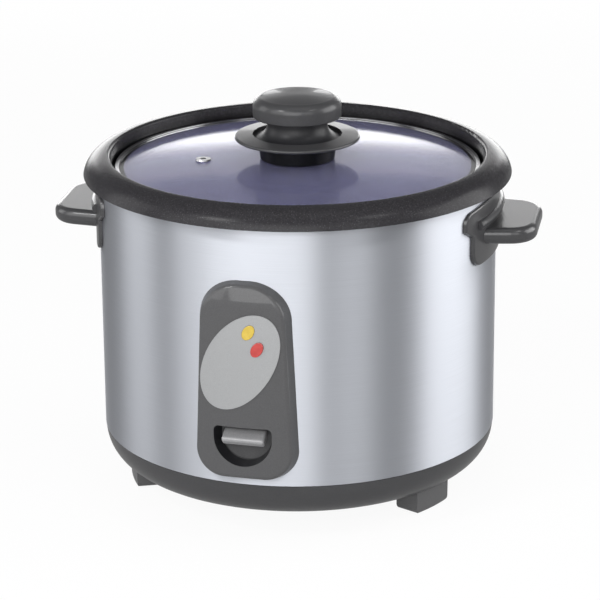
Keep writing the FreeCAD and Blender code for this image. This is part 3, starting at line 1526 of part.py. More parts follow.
def spring(label, radius, wire, turns, bottom, top):
    """Coil spring: one round wire swept along a helix of tangent arcs, two to each quarter turn."""
    low = bottom + wire
    pitch = (top - wire - low) / turns
    slope = pitch / (2 * math.pi)
    quarters = round(turns * 4)

    def spot(step):
        angle = step * math.pi / 2
        return Vector(radius * math.cos(angle), radius * math.sin(angle), low + slope * angle)

    def heading(step):
        angle = step * math.pi / 2
        return Vector(-radius * math.sin(angle), radius * math.cos(angle), slope).normalize()

    def arc(start, corner, end):
        weight = (end - start).Length / 2 / (corner - start).Length
        middle = (start + corner * (2 * weight) + end) * (1 / (2 + 2 * weight))
        return Part.Arc(start, middle, end).toShape()

    edges = []
    for step in range(quarters):
        start, end = spot(step), spot(step + 1)
        leave, arrive = heading(step), heading(step + 1)
        span = end - start
        both = leave + arrive
        spread = 2 * (1 - leave.dot(arrive))
        reach = (math.sqrt(span.dot(both) ** 2 + spread * span.dot(span)) - span.dot(both)) / spread
        first, last = start + leave * reach, end - arrive * reach
        middle = (first + last) * 0.5
        edges.append(arc(start, first, middle))
        edges.append(arc(middle, last, end))
    path = Part.Wire(edges)
    ring = Part.Wire([Part.Circle(spot(0), heading(0), wire).toShape()])
    made = doc.addObject("Part::Feature", label)
    made.Shape = path.makePipeShell([ring], True, False)
    print(f"{label}: least gap between turns {pitch - 2 * wire:.2f} mm")
    return node(label, made)


spring_top = sensor_under - d.seat_gap
spring("sensor_spring", d.outer_spring_radius.value, d.outer_spring_wire.value, d.outer_spring_turns.value,
       (bracket_top + d.seat_gap).value, spring_top.value)
spring("magnet_spring", d.inner_spring_radius.value, d.inner_spring_wire.value, d.inner_spring_turns.value,
       (holder_top + d.seat_gap).value, spring_top.value)

# Power inlet: a flanged socket at the back with three blades
inlet = new_body("power_inlet_body")
flange_x = d.inlet_half_width + d.inlet_flange
flange_z = d.inlet_half_height + d.inlet_flange
inlet_face = d.shell_radius + d.inlet_proud
inlet_back = inlet_face - d.inlet_depth - d.inlet_wall


def inlet_block(made, grow):
    """Upright rectangle round the middle of the inlet."""
    return rectangle(made, -d.inlet_half_width - grow, inlet_centre_z - d.inlet_half_height - grow,
                     d.inlet_half_width + grow, inlet_centre_z + d.inlet_half_height + grow)


flange_low = inlet_centre_z - flange_z
flange_high = inlet_centre_z + flange_z
flange_plan = outline(sketch(inlet), [
    (d.inlet_corner - flange_x, flange_low),
    (flange_x - d.inlet_corner, flange_low, d.inlet_corner, 1),
    (flange_x, flange_low + d.inlet_corner),
    (flange_x, flange_high - d.inlet_corner, d.inlet_corner, 1),
    (flange_x - d.inlet_corner, flange_high),
    (d.inlet_corner - flange_x, flange_high, d.inlet_corner, 1),
    (-flange_x, flange_high - d.inlet_corner),
    (-flange_x, flange_low + d.inlet_corner, d.inlet_corner, 1),
])
pad(inlet, flange_plan, inlet_face, Reversed=True)
bored(inlet, [(0, 0), (back_radius, 0), (back_radius, tall), (0, tall)])
pad(inlet, inlet_block(sketch(inlet, lift=-inlet_back), as_dim(0)), inlet_face - inlet_back, Reversed=True)
pocket(inlet, inlet_block(sketch(inlet, lift=d.inlet_depth - inlet_face), -d.inlet_wall), d.inlet_depth)
blade_spots = [(-d.pin_spacing, -d.pin_raise), (as_dim(0), d.pin_raise), (d.pin_spacing, -d.pin_raise)]
blade_tail = inlet_back - d.pin_tail
blade_length = d.pin_tail + d.inlet_wall + d.pin_reach
blades = new_body("inlet_pins_body")
for x, rise in blade_spots:
    middle = inlet_centre_z + rise
    slit = sketch(inlet, lift=-inlet_back)
    rectangle(slit, x - d.pin_half_width - d.pin_gap, middle - d.pin_half_height - d.pin_gap,
              x + d.pin_half_width + d.pin_gap, middle + d.pin_half_height + d.pin_gap)
    pocket(inlet, slit, d.inlet_wall)
    blade = sketch(blades, lift=-blade_tail)
    rectangle(blade, x - d.pin_half_width, middle - d.pin_half_height,
              x + d.pin_half_width, middle + d.pin_half_height)
    pad(blades, blade, blade_length, Reversed=True)
node("power_inlet", inlet)
node("inlet_pins", blades)

# Test every object, then write one file for each sub-part
doc.recompute()
broken = [made.Name for made in doc.Objects if {"Invalid", "Error"} & set(made.State)]
for made in nodes:
    if made.Shape.isNull() or not made.Shape.isValid() or not made.Shape.Solids:
        broken.append(made.Label)
if broken:
    raise RuntimeError(f"failed objects: {broken}")
os.makedirs("parts", exist_ok=True)
for made in nodes:
    made.Shape.exportStep(os.path.join("parts", f"{made.Label}.step"))
print(f"{len(nodes)} parts written")
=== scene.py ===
import math

import bpy
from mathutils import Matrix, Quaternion, Vector


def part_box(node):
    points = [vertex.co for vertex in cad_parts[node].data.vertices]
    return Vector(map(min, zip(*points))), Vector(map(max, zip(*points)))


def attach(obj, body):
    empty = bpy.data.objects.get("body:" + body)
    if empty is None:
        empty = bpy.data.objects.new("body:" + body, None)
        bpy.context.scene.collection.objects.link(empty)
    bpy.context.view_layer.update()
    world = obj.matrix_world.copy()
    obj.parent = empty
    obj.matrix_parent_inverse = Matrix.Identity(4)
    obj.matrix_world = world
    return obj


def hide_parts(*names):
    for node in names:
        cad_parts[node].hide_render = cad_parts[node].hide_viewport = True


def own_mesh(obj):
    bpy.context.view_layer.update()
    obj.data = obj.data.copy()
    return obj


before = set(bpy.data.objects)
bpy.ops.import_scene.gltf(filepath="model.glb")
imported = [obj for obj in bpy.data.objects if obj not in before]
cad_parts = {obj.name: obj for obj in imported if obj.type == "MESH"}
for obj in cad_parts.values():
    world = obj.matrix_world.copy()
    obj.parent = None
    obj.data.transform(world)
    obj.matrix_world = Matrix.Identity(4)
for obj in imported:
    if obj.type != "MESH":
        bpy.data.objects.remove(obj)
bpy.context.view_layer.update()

# Base pan and feet
# A tray moulded in mid-grey plastic with a fine spark-eroded grain, screwed up to posts under the liner.
# Three block feet stand under it, each with a rubber pad let into its sole; their grey is painted paler
# than the tray's as painted light, against the shade under its overhang.


def shaded(tree, measure, first, second, low, high):
    """Colour that runs from the first shade to the second as a measure goes from low to high."""
    ramp = tree.nodes.new("ShaderNodeValToRGB")
    ramp.color_ramp.elements[0].position = low
    ramp.color_ramp.elements[0].color = (*first, 1)
    ramp.color_ramp.elements[1].position = high
    ramp.color_ramp.elements[1].color = (*second, 1)
    tree.links.new(measure, ramp.inputs["Fac"])
    return ramp.outputs["Color"]


def grained(name, dark, light, roughness, grain, relief, polish=0.0, shine=0.5):
    """Moulded finish: two close shades in a fine grain, a shallow relief of it, and a polished skin."""
    material = bpy.data.materials.new(name)
    material.use_nodes = True
    tree = material.node_tree
    shader = tree.nodes["Principled BSDF"]
    shader.inputs["Roughness"].default_value = roughness
    shader.inputs["Specular IOR Level"].default_value = shine
    shader.inputs["Coat Weight"].default_value = polish
    shader.inputs["Coat Roughness"].default_value = 0.08
    place = tree.nodes.new("ShaderNodeTexCoord")
    specks = tree.nodes.new("ShaderNodeTexNoise")
    specks.inputs["Scale"].default_value = grain
    specks.inputs["Detail"].default_value = 2
    tree.links.new(place.outputs["Object"], specks.inputs["Vector"])
    shades = shaded(tree, specks.outputs["Fac"], dark, light, low=0.35, high=0.65)
    tree.links.new(shades, shader.inputs["Base Color"])
    if relief:
        dents = tree.nodes.new("ShaderNodeBump")
        dents.inputs["Strength"].default_value = 0.25
        dents.inputs["Distance"].default_value = relief
        tree.links.new(specks.outputs["Fac"], dents.inputs["Height"])
        tree.links.new(dents.outputs["Normal"], shader.inputs["Normal"])
    return material


def finish_nodes(material, *names):
    """Give CAD nodes their finish."""
    for name in names:
        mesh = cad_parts[name].data
        mesh.materials.clear()
        mesh.materials.append(material)


moulding = grained("moulding_grey", (0.036, 0.036, 0.038), (0.044, 0.044, 0.046),
                   roughness=0.30, grain=1500, relief=0.00002, polish=0.35)
# The feet are painted paler than the tray: painted light against the shade under it.
foot_grey_painted_light = grained("foot_grey_painted_light", (0.080, 0.080, 0.082), (0.090, 0.090, 0.092),
                    roughness=0.34, grain=1500, relief=0.00002, polish=0.2)
pad_rubber = grained("pad_rubber", (0.025, 0.025, 0.025), (0.045, 0.045, 0.045),
                     roughness=0.8, grain=900, relief=0.00008)
finish_nodes(moulding, "base_pan")
finish_nodes(foot_grey_painted_light, "base_feet")
finish_nodes(pad_rubber, "foot_pads")

# Outer shell
# A rolled tube of stainless steel with a hairline finish that runs round the body.
# Its top edge is hemmed under the liner's flange and its foot slips over the base.


def hairline(name, dark, light, roughness, lines, spread):
    """Brushed metal whose hairlines run round the upright axis."""
    streaks_per_radian = 3.0
    material = bpy.data.materials.new(name)
    material.use_nodes = True
    tree = material.node_tree
    shader = tree.nodes["Principled BSDF"]
    shader.inputs["Metallic"].default_value = 1.0
    shader.inputs["Roughness"].default_value = roughness
    shader.inputs["Anisotropic"].default_value = spread
    shader.inputs["Anisotropic Rotation"].default_value = 0.25
    place = tree.nodes.new("ShaderNodeTexCoord")
    split = tree.nodes.new("ShaderNodeSeparateXYZ")
    tree.links.new(place.outputs["Object"], split.inputs["Vector"])

    # The angle counts from the panel, so that its seam falls at the back.
    forwards = tree.nodes.new("ShaderNodeMath")
    forwards.operation = "MULTIPLY"
    forwards.inputs[1].default_value = -1.0
    around = tree.nodes.new("ShaderNodeMath")
    around.operation = "ARCTAN2"
    tree.links.new(split.outputs["Y"], forwards.inputs[0])
    tree.links.new(split.outputs["X"], around.inputs[0])
    tree.links.new(forwards.outputs["Value"], around.inputs[1])

    unrolled = tree.nodes.new("ShaderNodeCombineXYZ")
    combed = tree.nodes.new("ShaderNodeVectorMath")
    combed.operation = "MULTIPLY"
    combed.inputs[1].default_value = (streaks_per_radian, lines, 0)
    streaks = tree.nodes.new("ShaderNodeTexNoise")
    streaks.inputs["Scale"].default_value = 1.0
    streaks.inputs["Detail"].default_value = 3
    tree.links.new(around.outputs["Value"], unrolled.inputs["X"])
    tree.links.new(split.outputs["Z"], unrolled.inputs["Y"])
    tree.links.new(unrolled.outputs["Vector"], combed.inputs[0])
    tree.links.new(combed.outputs["Vector"], streaks.inputs["Vector"])
    shades = shaded(tree, streaks.outputs["Fac"], dark, light, low=0.3, high=0.7)
    tree.links.new(shades, shader.inputs["Base Color"])

    grain = tree.nodes.new("ShaderNodeTangent")
    grain.direction_type = "RADIAL"
    grain.axis = "Z"
    tree.links.new(grain.outputs["Tangent"], shader.inputs["Tangent"])
    return material


shell_steel = hairline("shell_steel", (0.602, 0.622, 0.668), (0.645, 0.667, 0.716),
                       roughness=0.48, lines=6000, spread=0.9)
finish_nodes(shell_steel, "outer_shell")

# Liner, heating plate and warming band
# A drawn aluminium cup, a cast aluminium plate on steel spacers, and a mica heater strapped round the cup.
# The fuse is clipped under the cup, and steel posts below it carry the base.
liner_metal = hairline("liner_aluminium", (0.55, 0.55, 0.55), (0.68, 0.68, 0.68),
                       roughness=0.38, lines=900, spread=0.4)
plate_metal = hairline("plate_aluminium", (0.50, 0.50, 0.49), (0.62, 0.62, 0.61),
                       roughness=0.45, lines=1400, spread=0.5)
plated = hairline("plated_steel", (0.46, 0.46, 0.45), (0.60, 0.60, 0.58),
                  roughness=0.33, lines=700, spread=0.2)
brass = hairline("terminal_brass", (0.62, 0.46, 0.20), (0.74, 0.57, 0.28),
                 roughness=0.32, lines=700, spread=0.2)
fuse_tin = hairline("fuse_metal", (0.62, 0.62, 0.60), (0.74, 0.74, 0.72),
                    roughness=0.3, lines=900, spread=0.2)
mica = grained("mica_tan", (0.36, 0.25, 0.13), (0.52, 0.39, 0.23),
               roughness=0.55, grain=140, relief=0.0001)
finish_nodes(liner_metal, "heat_liner")
finish_nodes(plate_metal, "heating_plate")
finish_nodes(plated, "mount_posts", "plate_spacers", "plate_screws", "fuse_clip")
finish_nodes(brass, "heater_terminals")
finish_nodes(fuse_tin, "thermal_fuse")
finish_nodes(mica, "warm_heater_band")

# Base screws
# Three zinc-plated pan-head screws with a cross recess.
# They are driven up through the base into the posts under the liner.
screw_count = 3
screw_circle = 0.092
first_screw_turn = math.radians(60)
screw_head_radius = 0.0034
screw_crown_radius = 0.00255
screw_head_height = 0.0022
screw_shank_radius = 0.0017
screw_cross_length = 0.00374
screw_cross_width = 0.000884
screw_cross_height = 0.00264
screw_foot, screw_top = (corner.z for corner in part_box("base_screws"))
screw_sizes = {
    "Head Radius": screw_head_radius,
    "Crown Radius": screw_crown_radius,
    "Head Height": screw_head_height,
    "Shank Radius": screw_shank_radius,
    "Shank Length": screw_top - screw_foot - screw_head_height,
    "Shank Middle": (screw_top - screw_foot + screw_head_height) / 2,
    "Cross Length": screw_cross_length,
    "Cross Width": screw_cross_width,
    "Cross Height": screw_cross_height,
    "Screw Circle": screw_circle,
    "First Turn": first_screw_turn,
    "Foot": screw_foot,
}
screw_tree = bpy.data.node_groups.new("cross_screws", "GeometryNodeTree")
for size in screw_sizes:
    screw_tree.interface.new_socket(size, in_out="INPUT", socket_type="NodeSocketFloat")
screw_tree.interface.new_socket("Screws", in_out="OUTPUT", socket_type="NodeSocketGeometry")
screw_size = screw_tree.nodes.new("NodeGroupInput").outputs

# The head widens upwards from its crown, and two crossed blades are cut out of it.
head = screw_tree.nodes.new("GeometryNodeMeshCone")
head.inputs["Vertices"].default_value = 40
cross = screw_tree.nodes.new("GeometryNodeMeshBoolean")
cross.operation = "UNION"
cross.solver = "EXACT"
recessed = screw_tree.nodes.new("GeometryNodeMeshBoolean")
recessed.operation = "DIFFERENCE"
recessed.solver = "EXACT"
screw_tree.links.new(screw_size["Crown Radius"], head.inputs["Radius Bottom"])
screw_tree.links.new(screw_size["Head Radius"], head.inputs["Radius Top"])
screw_tree.links.new(screw_size["Head Height"], head.inputs["Depth"])
screw_tree.links.new(head.outputs["Mesh"], recessed.inputs["Mesh 1"])
screw_tree.links.new(cross.outputs["Mesh"], recessed.inputs["Mesh 2"])
for along, across in (("X", "Y"), ("Y", "X")):
    blade_size = screw_tree.nodes.new("ShaderNodeCombineXYZ")
    blade = screw_tree.nodes.new("GeometryNodeMeshCube")
    screw_tree.links.new(screw_size["Cross Length"], blade_size.inputs[along])
    screw_tree.links.new(screw_size["Cross Width"], blade_size.inputs[across])
    screw_tree.links.new(screw_size["Cross Height"], blade_size.inputs["Z"])
    screw_tree.links.new(blade_size.outputs["Vector"], blade.inputs["Size"])
    screw_tree.links.new(blade.outputs["Mesh"], cross.inputs["Mesh 2"])

shank = screw_tree.nodes.new("GeometryNodeMeshCylinder")
shank.inputs["Vertices"].default_value = 24
shank_place = screw_tree.nodes.new("ShaderNodeCombineXYZ")
shank_up = screw_tree.nodes.new("GeometryNodeTransform")
one_screw = screw_tree.nodes.new("GeometryNodeJoinGeometry")
screw_tree.links.new(screw_size["Shank Radius"], shank.inputs["Radius"])
screw_tree.links.new(screw_size["Shank Length"], shank.inputs["Depth"])
screw_tree.links.new(screw_size["Shank Middle"], shank_place.inputs["Z"])
screw_tree.links.new(shank.outputs["Mesh"], shank_up.inputs["Geometry"])
screw_tree.links.new(shank_place.outputs["Vector"], shank_up.inputs["Translation"])
screw_tree.links.new(recessed.outputs["Mesh"], one_screw.inputs["Geometry"])
screw_tree.links.new(shank_up.outputs["Geometry"], one_screw.inputs["Geometry"])

spots = screw_tree.nodes.new("GeometryNodeMeshCircle")
spots.inputs["Vertices"].default_value = screw_count
spots_turn = screw_tree.nodes.new("ShaderNodeCombineXYZ")
spots_foot = screw_tree.nodes.new("ShaderNodeCombineXYZ")
spots_placed = screw_tree.nodes.new("GeometryNodeTransform")
screws = screw_tree.nodes.new("GeometryNodeInstanceOnPoints")
screw_real = screw_tree.nodes.new("GeometryNodeRealizeInstances")
screw_finish = screw_tree.nodes.new("GeometryNodeSetMaterial")
screw_finish.inputs["Material"].default_value = plated
screws_made = screw_tree.nodes.new("NodeGroupOutput")
screw_tree.links.new(screw_size["Screw Circle"], spots.inputs["Radius"])
screw_tree.links.new(screw_size["First Turn"], spots_turn.inputs["Z"])
screw_tree.links.new(screw_size["Foot"], spots_foot.inputs["Z"])
screw_tree.links.new(spots.outputs["Mesh"], spots_placed.inputs["Geometry"])
screw_tree.links.new(spots_turn.outputs["Vector"], spots_placed.inputs["Rotation"])
screw_tree.links.new(spots_foot.outputs["Vector"], spots_placed.inputs["Translation"])
screw_tree.links.new(spots_placed.outputs["Geometry"], screws.inputs["Points"])
screw_tree.links.new(one_screw.outputs["Geometry"], screws.inputs["Instance"])
screw_tree.links.new(screws.outputs["Instances"], screw_real.inputs["Geometry"])
screw_tree.links.new(screw_real.outputs["Geometry"], screw_finish.inputs["Geometry"])
screw_tree.links.new(screw_finish.outputs["Geometry"], screws_made.inputs["Screws"])


def made_from(tree, name, sizes):
    """Plain mesh from a node tree, with each size set on the socket of its name."""
    piece = bpy.data.objects.new(name, bpy.data.meshes.new(name))
    bpy.context.collection.objects.link(piece)
    making = piece.modifiers.new("making", "NODES")
    making.node_group = tree
    for socket in tree.interface.items_tree:
        if socket.in_out == "INPUT":
            making[socket.identifier] = sizes[socket.name]
    made = piece.evaluated_get(bpy.context.evaluated_depsgraph_get())
    piece.data = bpy.data.meshes.new_from_object(made)
    piece.modifiers.remove(making)
    return piece


screw_set = made_from(screw_tree, "base_screw_set", screw_sizes)
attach(screw_set, "housing")
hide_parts("base_screws")

# Thermostat
# An aluminium cap in the middle of the heating plate, with a ferrite disc in the steel sleeve under it.
# The sleeve slides in a ring under the liner, and a magnet on a rod rises inside it to the ferrite.
ferrite = grained("ferrite_dark", (0.04, 0.04, 0.042), (0.07, 0.07, 0.072),
                  roughness=0.6, grain=800, relief=0.00006)
finish_nodes(plate_metal, "sensor_cap")
finish_nodes(plated, "sensor_sleeve", "magnet_rod", "sensor_seat")
finish_nodes(ferrite, "sensor_ferrite", "lift_magnet")

# Thermostat springs
# Two coils of hard-drawn steel wire.
# The outer one holds the cap up to the pot, and the inner one pushes the magnet down.
spring_wire = hairline("spring_steel", (0.36, 0.36, 0.37), (0.46, 0.46, 0.47),
                       roughness=0.3, lines=1200, spread=0.1)
coil_tree = bpy.data.node_groups.new("coil_spring", "GeometryNodeTree")
for size in ("Coil Radius", "Wire Radius", "Turns", "Foot", "Rise"):
    coil_tree.interface.new_socket(size, in_out="INPUT", socket_type="NodeSocketFloat")
coil_tree.interface.new_socket("Spring", in_out="OUTPUT", socket_type="NodeSocketGeometry")
coil_size = coil_tree.nodes.new("NodeGroupInput").outputs
helix = coil_tree.nodes.new("GeometryNodeCurveSpiral")
helix.inputs["Resolution"].default_value = 40
wire_section = coil_tree.nodes.new("GeometryNodeCurvePrimitiveCircle")
wire_section.inputs["Resolution"].default_value = 10
wound = coil_tree.nodes.new("GeometryNodeCurveToMesh")
wound.inputs["Fill Caps"].default_value = True
foot_place = coil_tree.nodes.new("ShaderNodeCombineXYZ")
stood = coil_tree.nodes.new("GeometryNodeTransform")
smooth = coil_tree.nodes.new("GeometryNodeSetShadeSmooth")
coil_real = coil_tree.nodes.new("GeometryNodeRealizeInstances")
coil_finish = coil_tree.nodes.new("GeometryNodeSetMaterial")
coil_finish.inputs["Material"].default_value = spring_wire
coil_made = coil_tree.nodes.new("NodeGroupOutput")
coil_tree.links.new(coil_size["Coil Radius"], helix.inputs["Start Radius"])
coil_tree.links.new(coil_size["Coil Radius"], helix.inputs["End Radius"])
coil_tree.links.new(coil_size["Turns"], helix.inputs["Rotations"])
coil_tree.links.new(coil_size["Rise"], helix.inputs["Height"])
coil_tree.links.new(coil_size["Wire Radius"], wire_section.inputs["Radius"])
coil_tree.links.new(coil_size["Foot"], foot_place.inputs["Z"])
coil_tree.links.new(helix.outputs["Curve"], wound.inputs["Curve"])
coil_tree.links.new(wire_section.outputs["Curve"], wound.inputs["Profile Curve"])
coil_tree.links.new(wound.outputs["Mesh"], stood.inputs["Geometry"])
coil_tree.links.new(foot_place.outputs["Vector"], stood.inputs["Translation"])
coil_tree.links.new(stood.outputs["Geometry"], smooth.inputs["Geometry"])
coil_tree.links.new(smooth.outputs["Geometry"], coil_real.inputs["Geometry"])
coil_tree.links.new(coil_real.outputs["Geometry"], coil_finish.inputs["Geometry"])
coil_tree.links.new(coil_finish.outputs["Geometry"], coil_made.inputs["Spring"])


def coil_spring(name, cad_spring, body, wire_radius, turns):
    """Wire coil in the place of a CAD spring, carried by the given body."""
    low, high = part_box(cad_spring)
    height = high.z - low.z
    coil = made_from(coil_tree, name, {
        "Coil Radius": high.x - wire_radius,
        "Wire Radius": wire_radius,
        "Turns": turns,
        "Foot": low.z + wire_radius,
        "Rise": height - 2 * wire_radius,
    })
    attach(coil, body)
    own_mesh(coil)
    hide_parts(cad_spring)


coil_spring("sensor_coil", "sensor_spring", "housing",
            wire_radius=0.0007, turns=4.0)
coil_spring("magnet_coil", "magnet_spring", "sensor_head",
            wire_radius=0.0005, turns=5.0)

# Cook lever and switch
# A bent arm of plated steel rocks on a pin in a bracket under the liner.
# As it lifts the magnet, it presses the white plunger of the black switch above it.
switch_black = grained("switch_black", (0.018, 0.018, 0.019), (0.032, 0.032, 0.033),
                       roughness=0.45, grain=900, relief=0.00004)
carrier_white = grained("carrier_white", (0.62, 0.62, 0.59), (0.70, 0.70, 0.67),
                        roughness=0.5, grain=700, relief=0.00003)
finish_nodes(plated, "lever_arm", "lever_bracket", "lever_pivot_pin")
finish_nodes(switch_black, "heater_switch")
finish_nodes(carrier_white, "switch_plunger")

# Power inlet
# A flanged black socket at the back with brass blades.
# It is set into an opening of the shell, and its flange lies on the steel.
finish_nodes(switch_black, "power_inlet")
finish_nodes(brass, "inlet_pins")

# Control panel
# A hollow arched moulding with a slanted oval plate of satin silver and two tinted lamp lenses, screwed on
# from inside the shell. In a D-shaped recess at its foot is the polished bar of the cook lever.
recess_half_width = 0.0195
recess_bottom = 0.050
recess_top = 0.0822
recess_mouth = 0.1357
recess_floor = 0.1258
# Painted shade for the inside of the recess.
recess_painted_shade = (0.012, 0.012, 0.014)
panel_grey = grained("panel_grey", (0.064, 0.064, 0.066), (0.075, 0.075, 0.077),
                     roughness=0.50, grain=1500, relief=0.00002, polish=0.45, shine=0.15)
label_silver = grained("label_silver", (0.34, 0.345, 0.35), (0.39, 0.395, 0.40),
                       roughness=0.42, grain=2500, relief=0.00002)
label_silver.node_tree.nodes["Principled BSDF"].inputs["Metallic"].default_value = 0.5
lever_grey = grained("lever_grey", (0.21, 0.21, 0.215), (0.245, 0.245, 0.25),
                     roughness=0.28, grain=1500, relief=0.00002, polish=0.5)


def off_axis(tree):
    """Level offset of a point from the cooker's upright axis, as a vector and as a distance."""
    level = tree.nodes.new("ShaderNodeVectorMath")
    level.operation = "MULTIPLY"
    level.inputs[1].default_value = (1, 1, 0)
    distance = tree.nodes.new("ShaderNodeVectorMath")
    distance.operation = "LENGTH"
    tree.links.new(tree.nodes["Texture Coordinate"].outputs["Object"], level.inputs[0])
    tree.links.new(level.outputs["Vector"], distance.inputs[0])
    return level.outputs["Vector"], distance.outputs["Value"]


def multiplied(tree, first, second):
    """Share where two shares overlap."""
    product = tree.nodes.new("ShaderNodeMath")
    product.operation = "MULTIPLY"
    tree.links.new(first, product.inputs[0])
    tree.links.new(second, product.inputs[1])
    return product.outputs["Value"]


def painted(tree, ground, share, paint):
    """Ground colour with a share of paint over it, as the colour of the material."""
    cover = tree.nodes.new("ShaderNodeMix")
    cover.data_type = "RGBA"
    cover.inputs["B"].default_value = (*paint, 1)
    tree.links.new(share, cover.inputs["Factor"])
    tree.links.new(ground, cover.inputs["A"])
    tree.links.new(cover.outputs["Result"], tree.nodes["Principled BSDF"].inputs["Base Color"])
    return cover.outputs["Result"]


# The inside of the recess is painted darker than the face: painted shade, where its walls and floor lie in
# shadow.
panel_tree = panel_grey.node_tree
panel_split = panel_tree.nodes.new("ShaderNodeSeparateXYZ")
panel_tree.links.new(panel_tree.nodes["Texture Coordinate"].outputs["Object"], panel_split.inputs["Vector"])
panel_depth = off_axis(panel_tree)[1]
recess_limits = [
    (panel_split.outputs["X"], "GREATER_THAN", -recess_half_width),
    (panel_split.outputs["X"], "LESS_THAN", recess_half_width),
    (panel_split.outputs["Z"], "GREATER_THAN", recess_bottom),
    (panel_split.outputs["Z"], "LESS_THAN", recess_top),
    (panel_depth, "GREATER_THAN", recess_floor),
    (panel_depth, "LESS_THAN", recess_mouth),
]
recess_shade_share = None
for measure, side, limit in recess_limits:
    within = panel_tree.nodes.new("ShaderNodeMath")
    within.operation = side
    within.inputs[1].default_value = limit
    panel_tree.links.new(measure, within.inputs[0])
    in_limit = within.outputs["Value"]
    recess_shade_share = multiplied(panel_tree, recess_shade_share, in_limit) if recess_shade_share else in_limit
panel_ground = panel_tree.nodes["Color Ramp"].outputs["Color"]
painted(panel_tree, panel_ground, recess_shade_share, recess_painted_shade)


def tinted_lens(name, deep, pale):
    """Coloured plastic in two close tints under a glossy skin."""
    material = grained(name, deep, pale, roughness=0.18, grain=260, relief=0.00002, polish=0.6)
    material.node_tree.nodes["Principled BSDF"].inputs["Coat Roughness"].default_value = 0.05
    return material


lens_yellow = tinted_lens("lens_yellow", (0.455, 0.322, 0.046), (0.53, 0.388, 0.065))
lens_red = tinted_lens("lens_red", (0.37, 0.042, 0.038), (0.43, 0.056, 0.051))
neon_glass = tinted_lens("neon_glass", (0.62, 0.40, 0.30), (0.74, 0.55, 0.45))
finish_nodes(panel_grey, "front_bezel")
finish_nodes(label_silver, "label_plate")
finish_nodes(lever_grey, "lever_knob")
finish_nodes(lens_yellow, "warm_lamp_lens")
finish_nodes(lens_red, "cook_lamp_lens")
finish_nodes(neon_glass, "neon_lamps")
finish_nodes(carrier_white, "lamp_carrier")
finish_nodes(plated, "bezel_screws")

# Side handles
# Grey mouldings that saddle the shell under the pot's rim, each with a flat shelf to lift by.
# Two screws from inside the shell hold each one.
finish_nodes(moulding, "right_handle", "left_handle")
finish_nodes(plated, "handle_screws")

# Cooking pot
# Spun aluminium under a dark speckled non-stick coat, with a broad rolled rim.
# It is loose: it stands on the heating plate and lifts straight out.
fleck_middle = 0.10
fleck_edge = 0.22
fleck_grey = (0.09, 0.088, 0.095)
rim_inner_radius = 0.1196
well_blur = 0.0008
# Painted shade for the inside of the pot.
well_painted_shade = (0.003, 0.003, 0.0035)
floor_lean = 0.02
coating = grained("pot_coating", (0.021, 0.020, 0.022), (0.031, 0.030, 0.033),
                  roughness=0.25, grain=1100, relief=0.00006, shine=0.25)
coat_tree = coating.node_tree
coat_tree.nodes["Principled BSDF"].inputs["IOR"].default_value = 1.32
coat_place = coat_tree.nodes["Texture Coordinate"].outputs
flecks = coat_tree.nodes.new("ShaderNodeTexVoronoi")
flecks.inputs["Scale"].default_value = 900
coat_tree.links.new(coat_place["Object"], flecks.inputs["Vector"])
coat_ground = coat_tree.nodes["Color Ramp"].outputs["Color"]
in_fleck = shaded(coat_tree, flecks.outputs["Distance"], (1, 1, 1), (0, 0, 0), fleck_middle, fleck_edge)
speckled = painted(coat_tree, coat_ground, in_fleck, fleck_grey)

# Inside, below the rim, the coat is painted almost black as painted shade in the pot's well. The lean lets
# the floor, which faces up, count as inside.
from_axis, axis_distance = off_axis(coat_tree)
below_rim = coat_tree.nodes.new("ShaderNodeMapRange")
below_rim.inputs["From Min"].default_value = rim_inner_radius
below_rim.inputs["From Max"].default_value = rim_inner_radius - well_blur
outwards = coat_tree.nodes.new("ShaderNodeVectorMath")
outwards.operation = "ADD"
outwards.inputs[1].default_value = (0, 0, -floor_lean)
facing = coat_tree.nodes.new("ShaderNodeVectorMath")
facing.operation = "DOT_PRODUCT"
facing_in = coat_tree.nodes.new("ShaderNodeMath")
facing_in.operation = "LESS_THAN"
facing_in.inputs[1].default_value = 0.0
coat_tree.links.new(axis_distance, below_rim.inputs["Value"])
coat_tree.links.new(from_axis, outwards.inputs[0])
coat_tree.links.new(outwards.outputs["Vector"], facing.inputs[0])
coat_tree.links.new(coat_place["Normal"], facing.inputs[1])
coat_tree.links.new(facing.outputs["Value"], facing_in.inputs[0])
well_shade_share = multiplied(coat_tree, below_rim.outputs["Result"], facing_in.outputs["Value"])
painted(coat_tree, speckled, well_shade_share, well_painted_shade)
finish_nodes(coating, "inner_pot")

# Glass lid
# A shallow dome of tempered glass with a faint violet tint and a dark edge, in a folded steel band.
# A small steam grommet is riveted through it.
edge_width = 0.005
edge_blur = 0.0008
edge_dark = (0.012, 0.012, 0.016)
glass_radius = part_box("lid_glass")[1].x
edge_start = glass_radius - edge_width
lid_glass = grained("lid_glass", (0.44, 0.44, 0.68), (0.49, 0.49, 0.73),
                    roughness=0.12, grain=60, relief=0)
glass_tree = lid_glass.node_tree
glass_tree.nodes["Principled BSDF"].inputs["Transmission Weight"].default_value = 0.78
glass_tree.nodes["Principled BSDF"].inputs["IOR"].default_value = 1.5
at_edge = glass_tree.nodes.new("ShaderNodeMapRange")
at_edge.inputs["From Min"].default_value = edge_start
at_edge.inputs["From Max"].default_value = edge_start + edge_blur
glass_tree.links.new(off_axis(glass_tree)[1], at_edge.inputs["Value"])
glass_ground = glass_tree.nodes["Color Ramp"].outputs["Color"]
painted(glass_tree, glass_ground, at_edge.outputs["Result"], edge_dark)
lid_steel = hairline("lid_band_steel", (0.74, 0.74, 0.75), (0.84, 0.84, 0.85),
                     roughness=0.2, lines=300, spread=0.3)
grommet_metal = hairline("grommet_metal", (0.52, 0.52, 0.53), (0.64, 0.64, 0.65),
                         roughness=0.3, lines=900, spread=0.2)
finish_nodes(lid_glass, "lid_glass")
finish_nodes(lid_steel, "lid_band")
finish_nodes(grommet_metal, "vent_grommet")

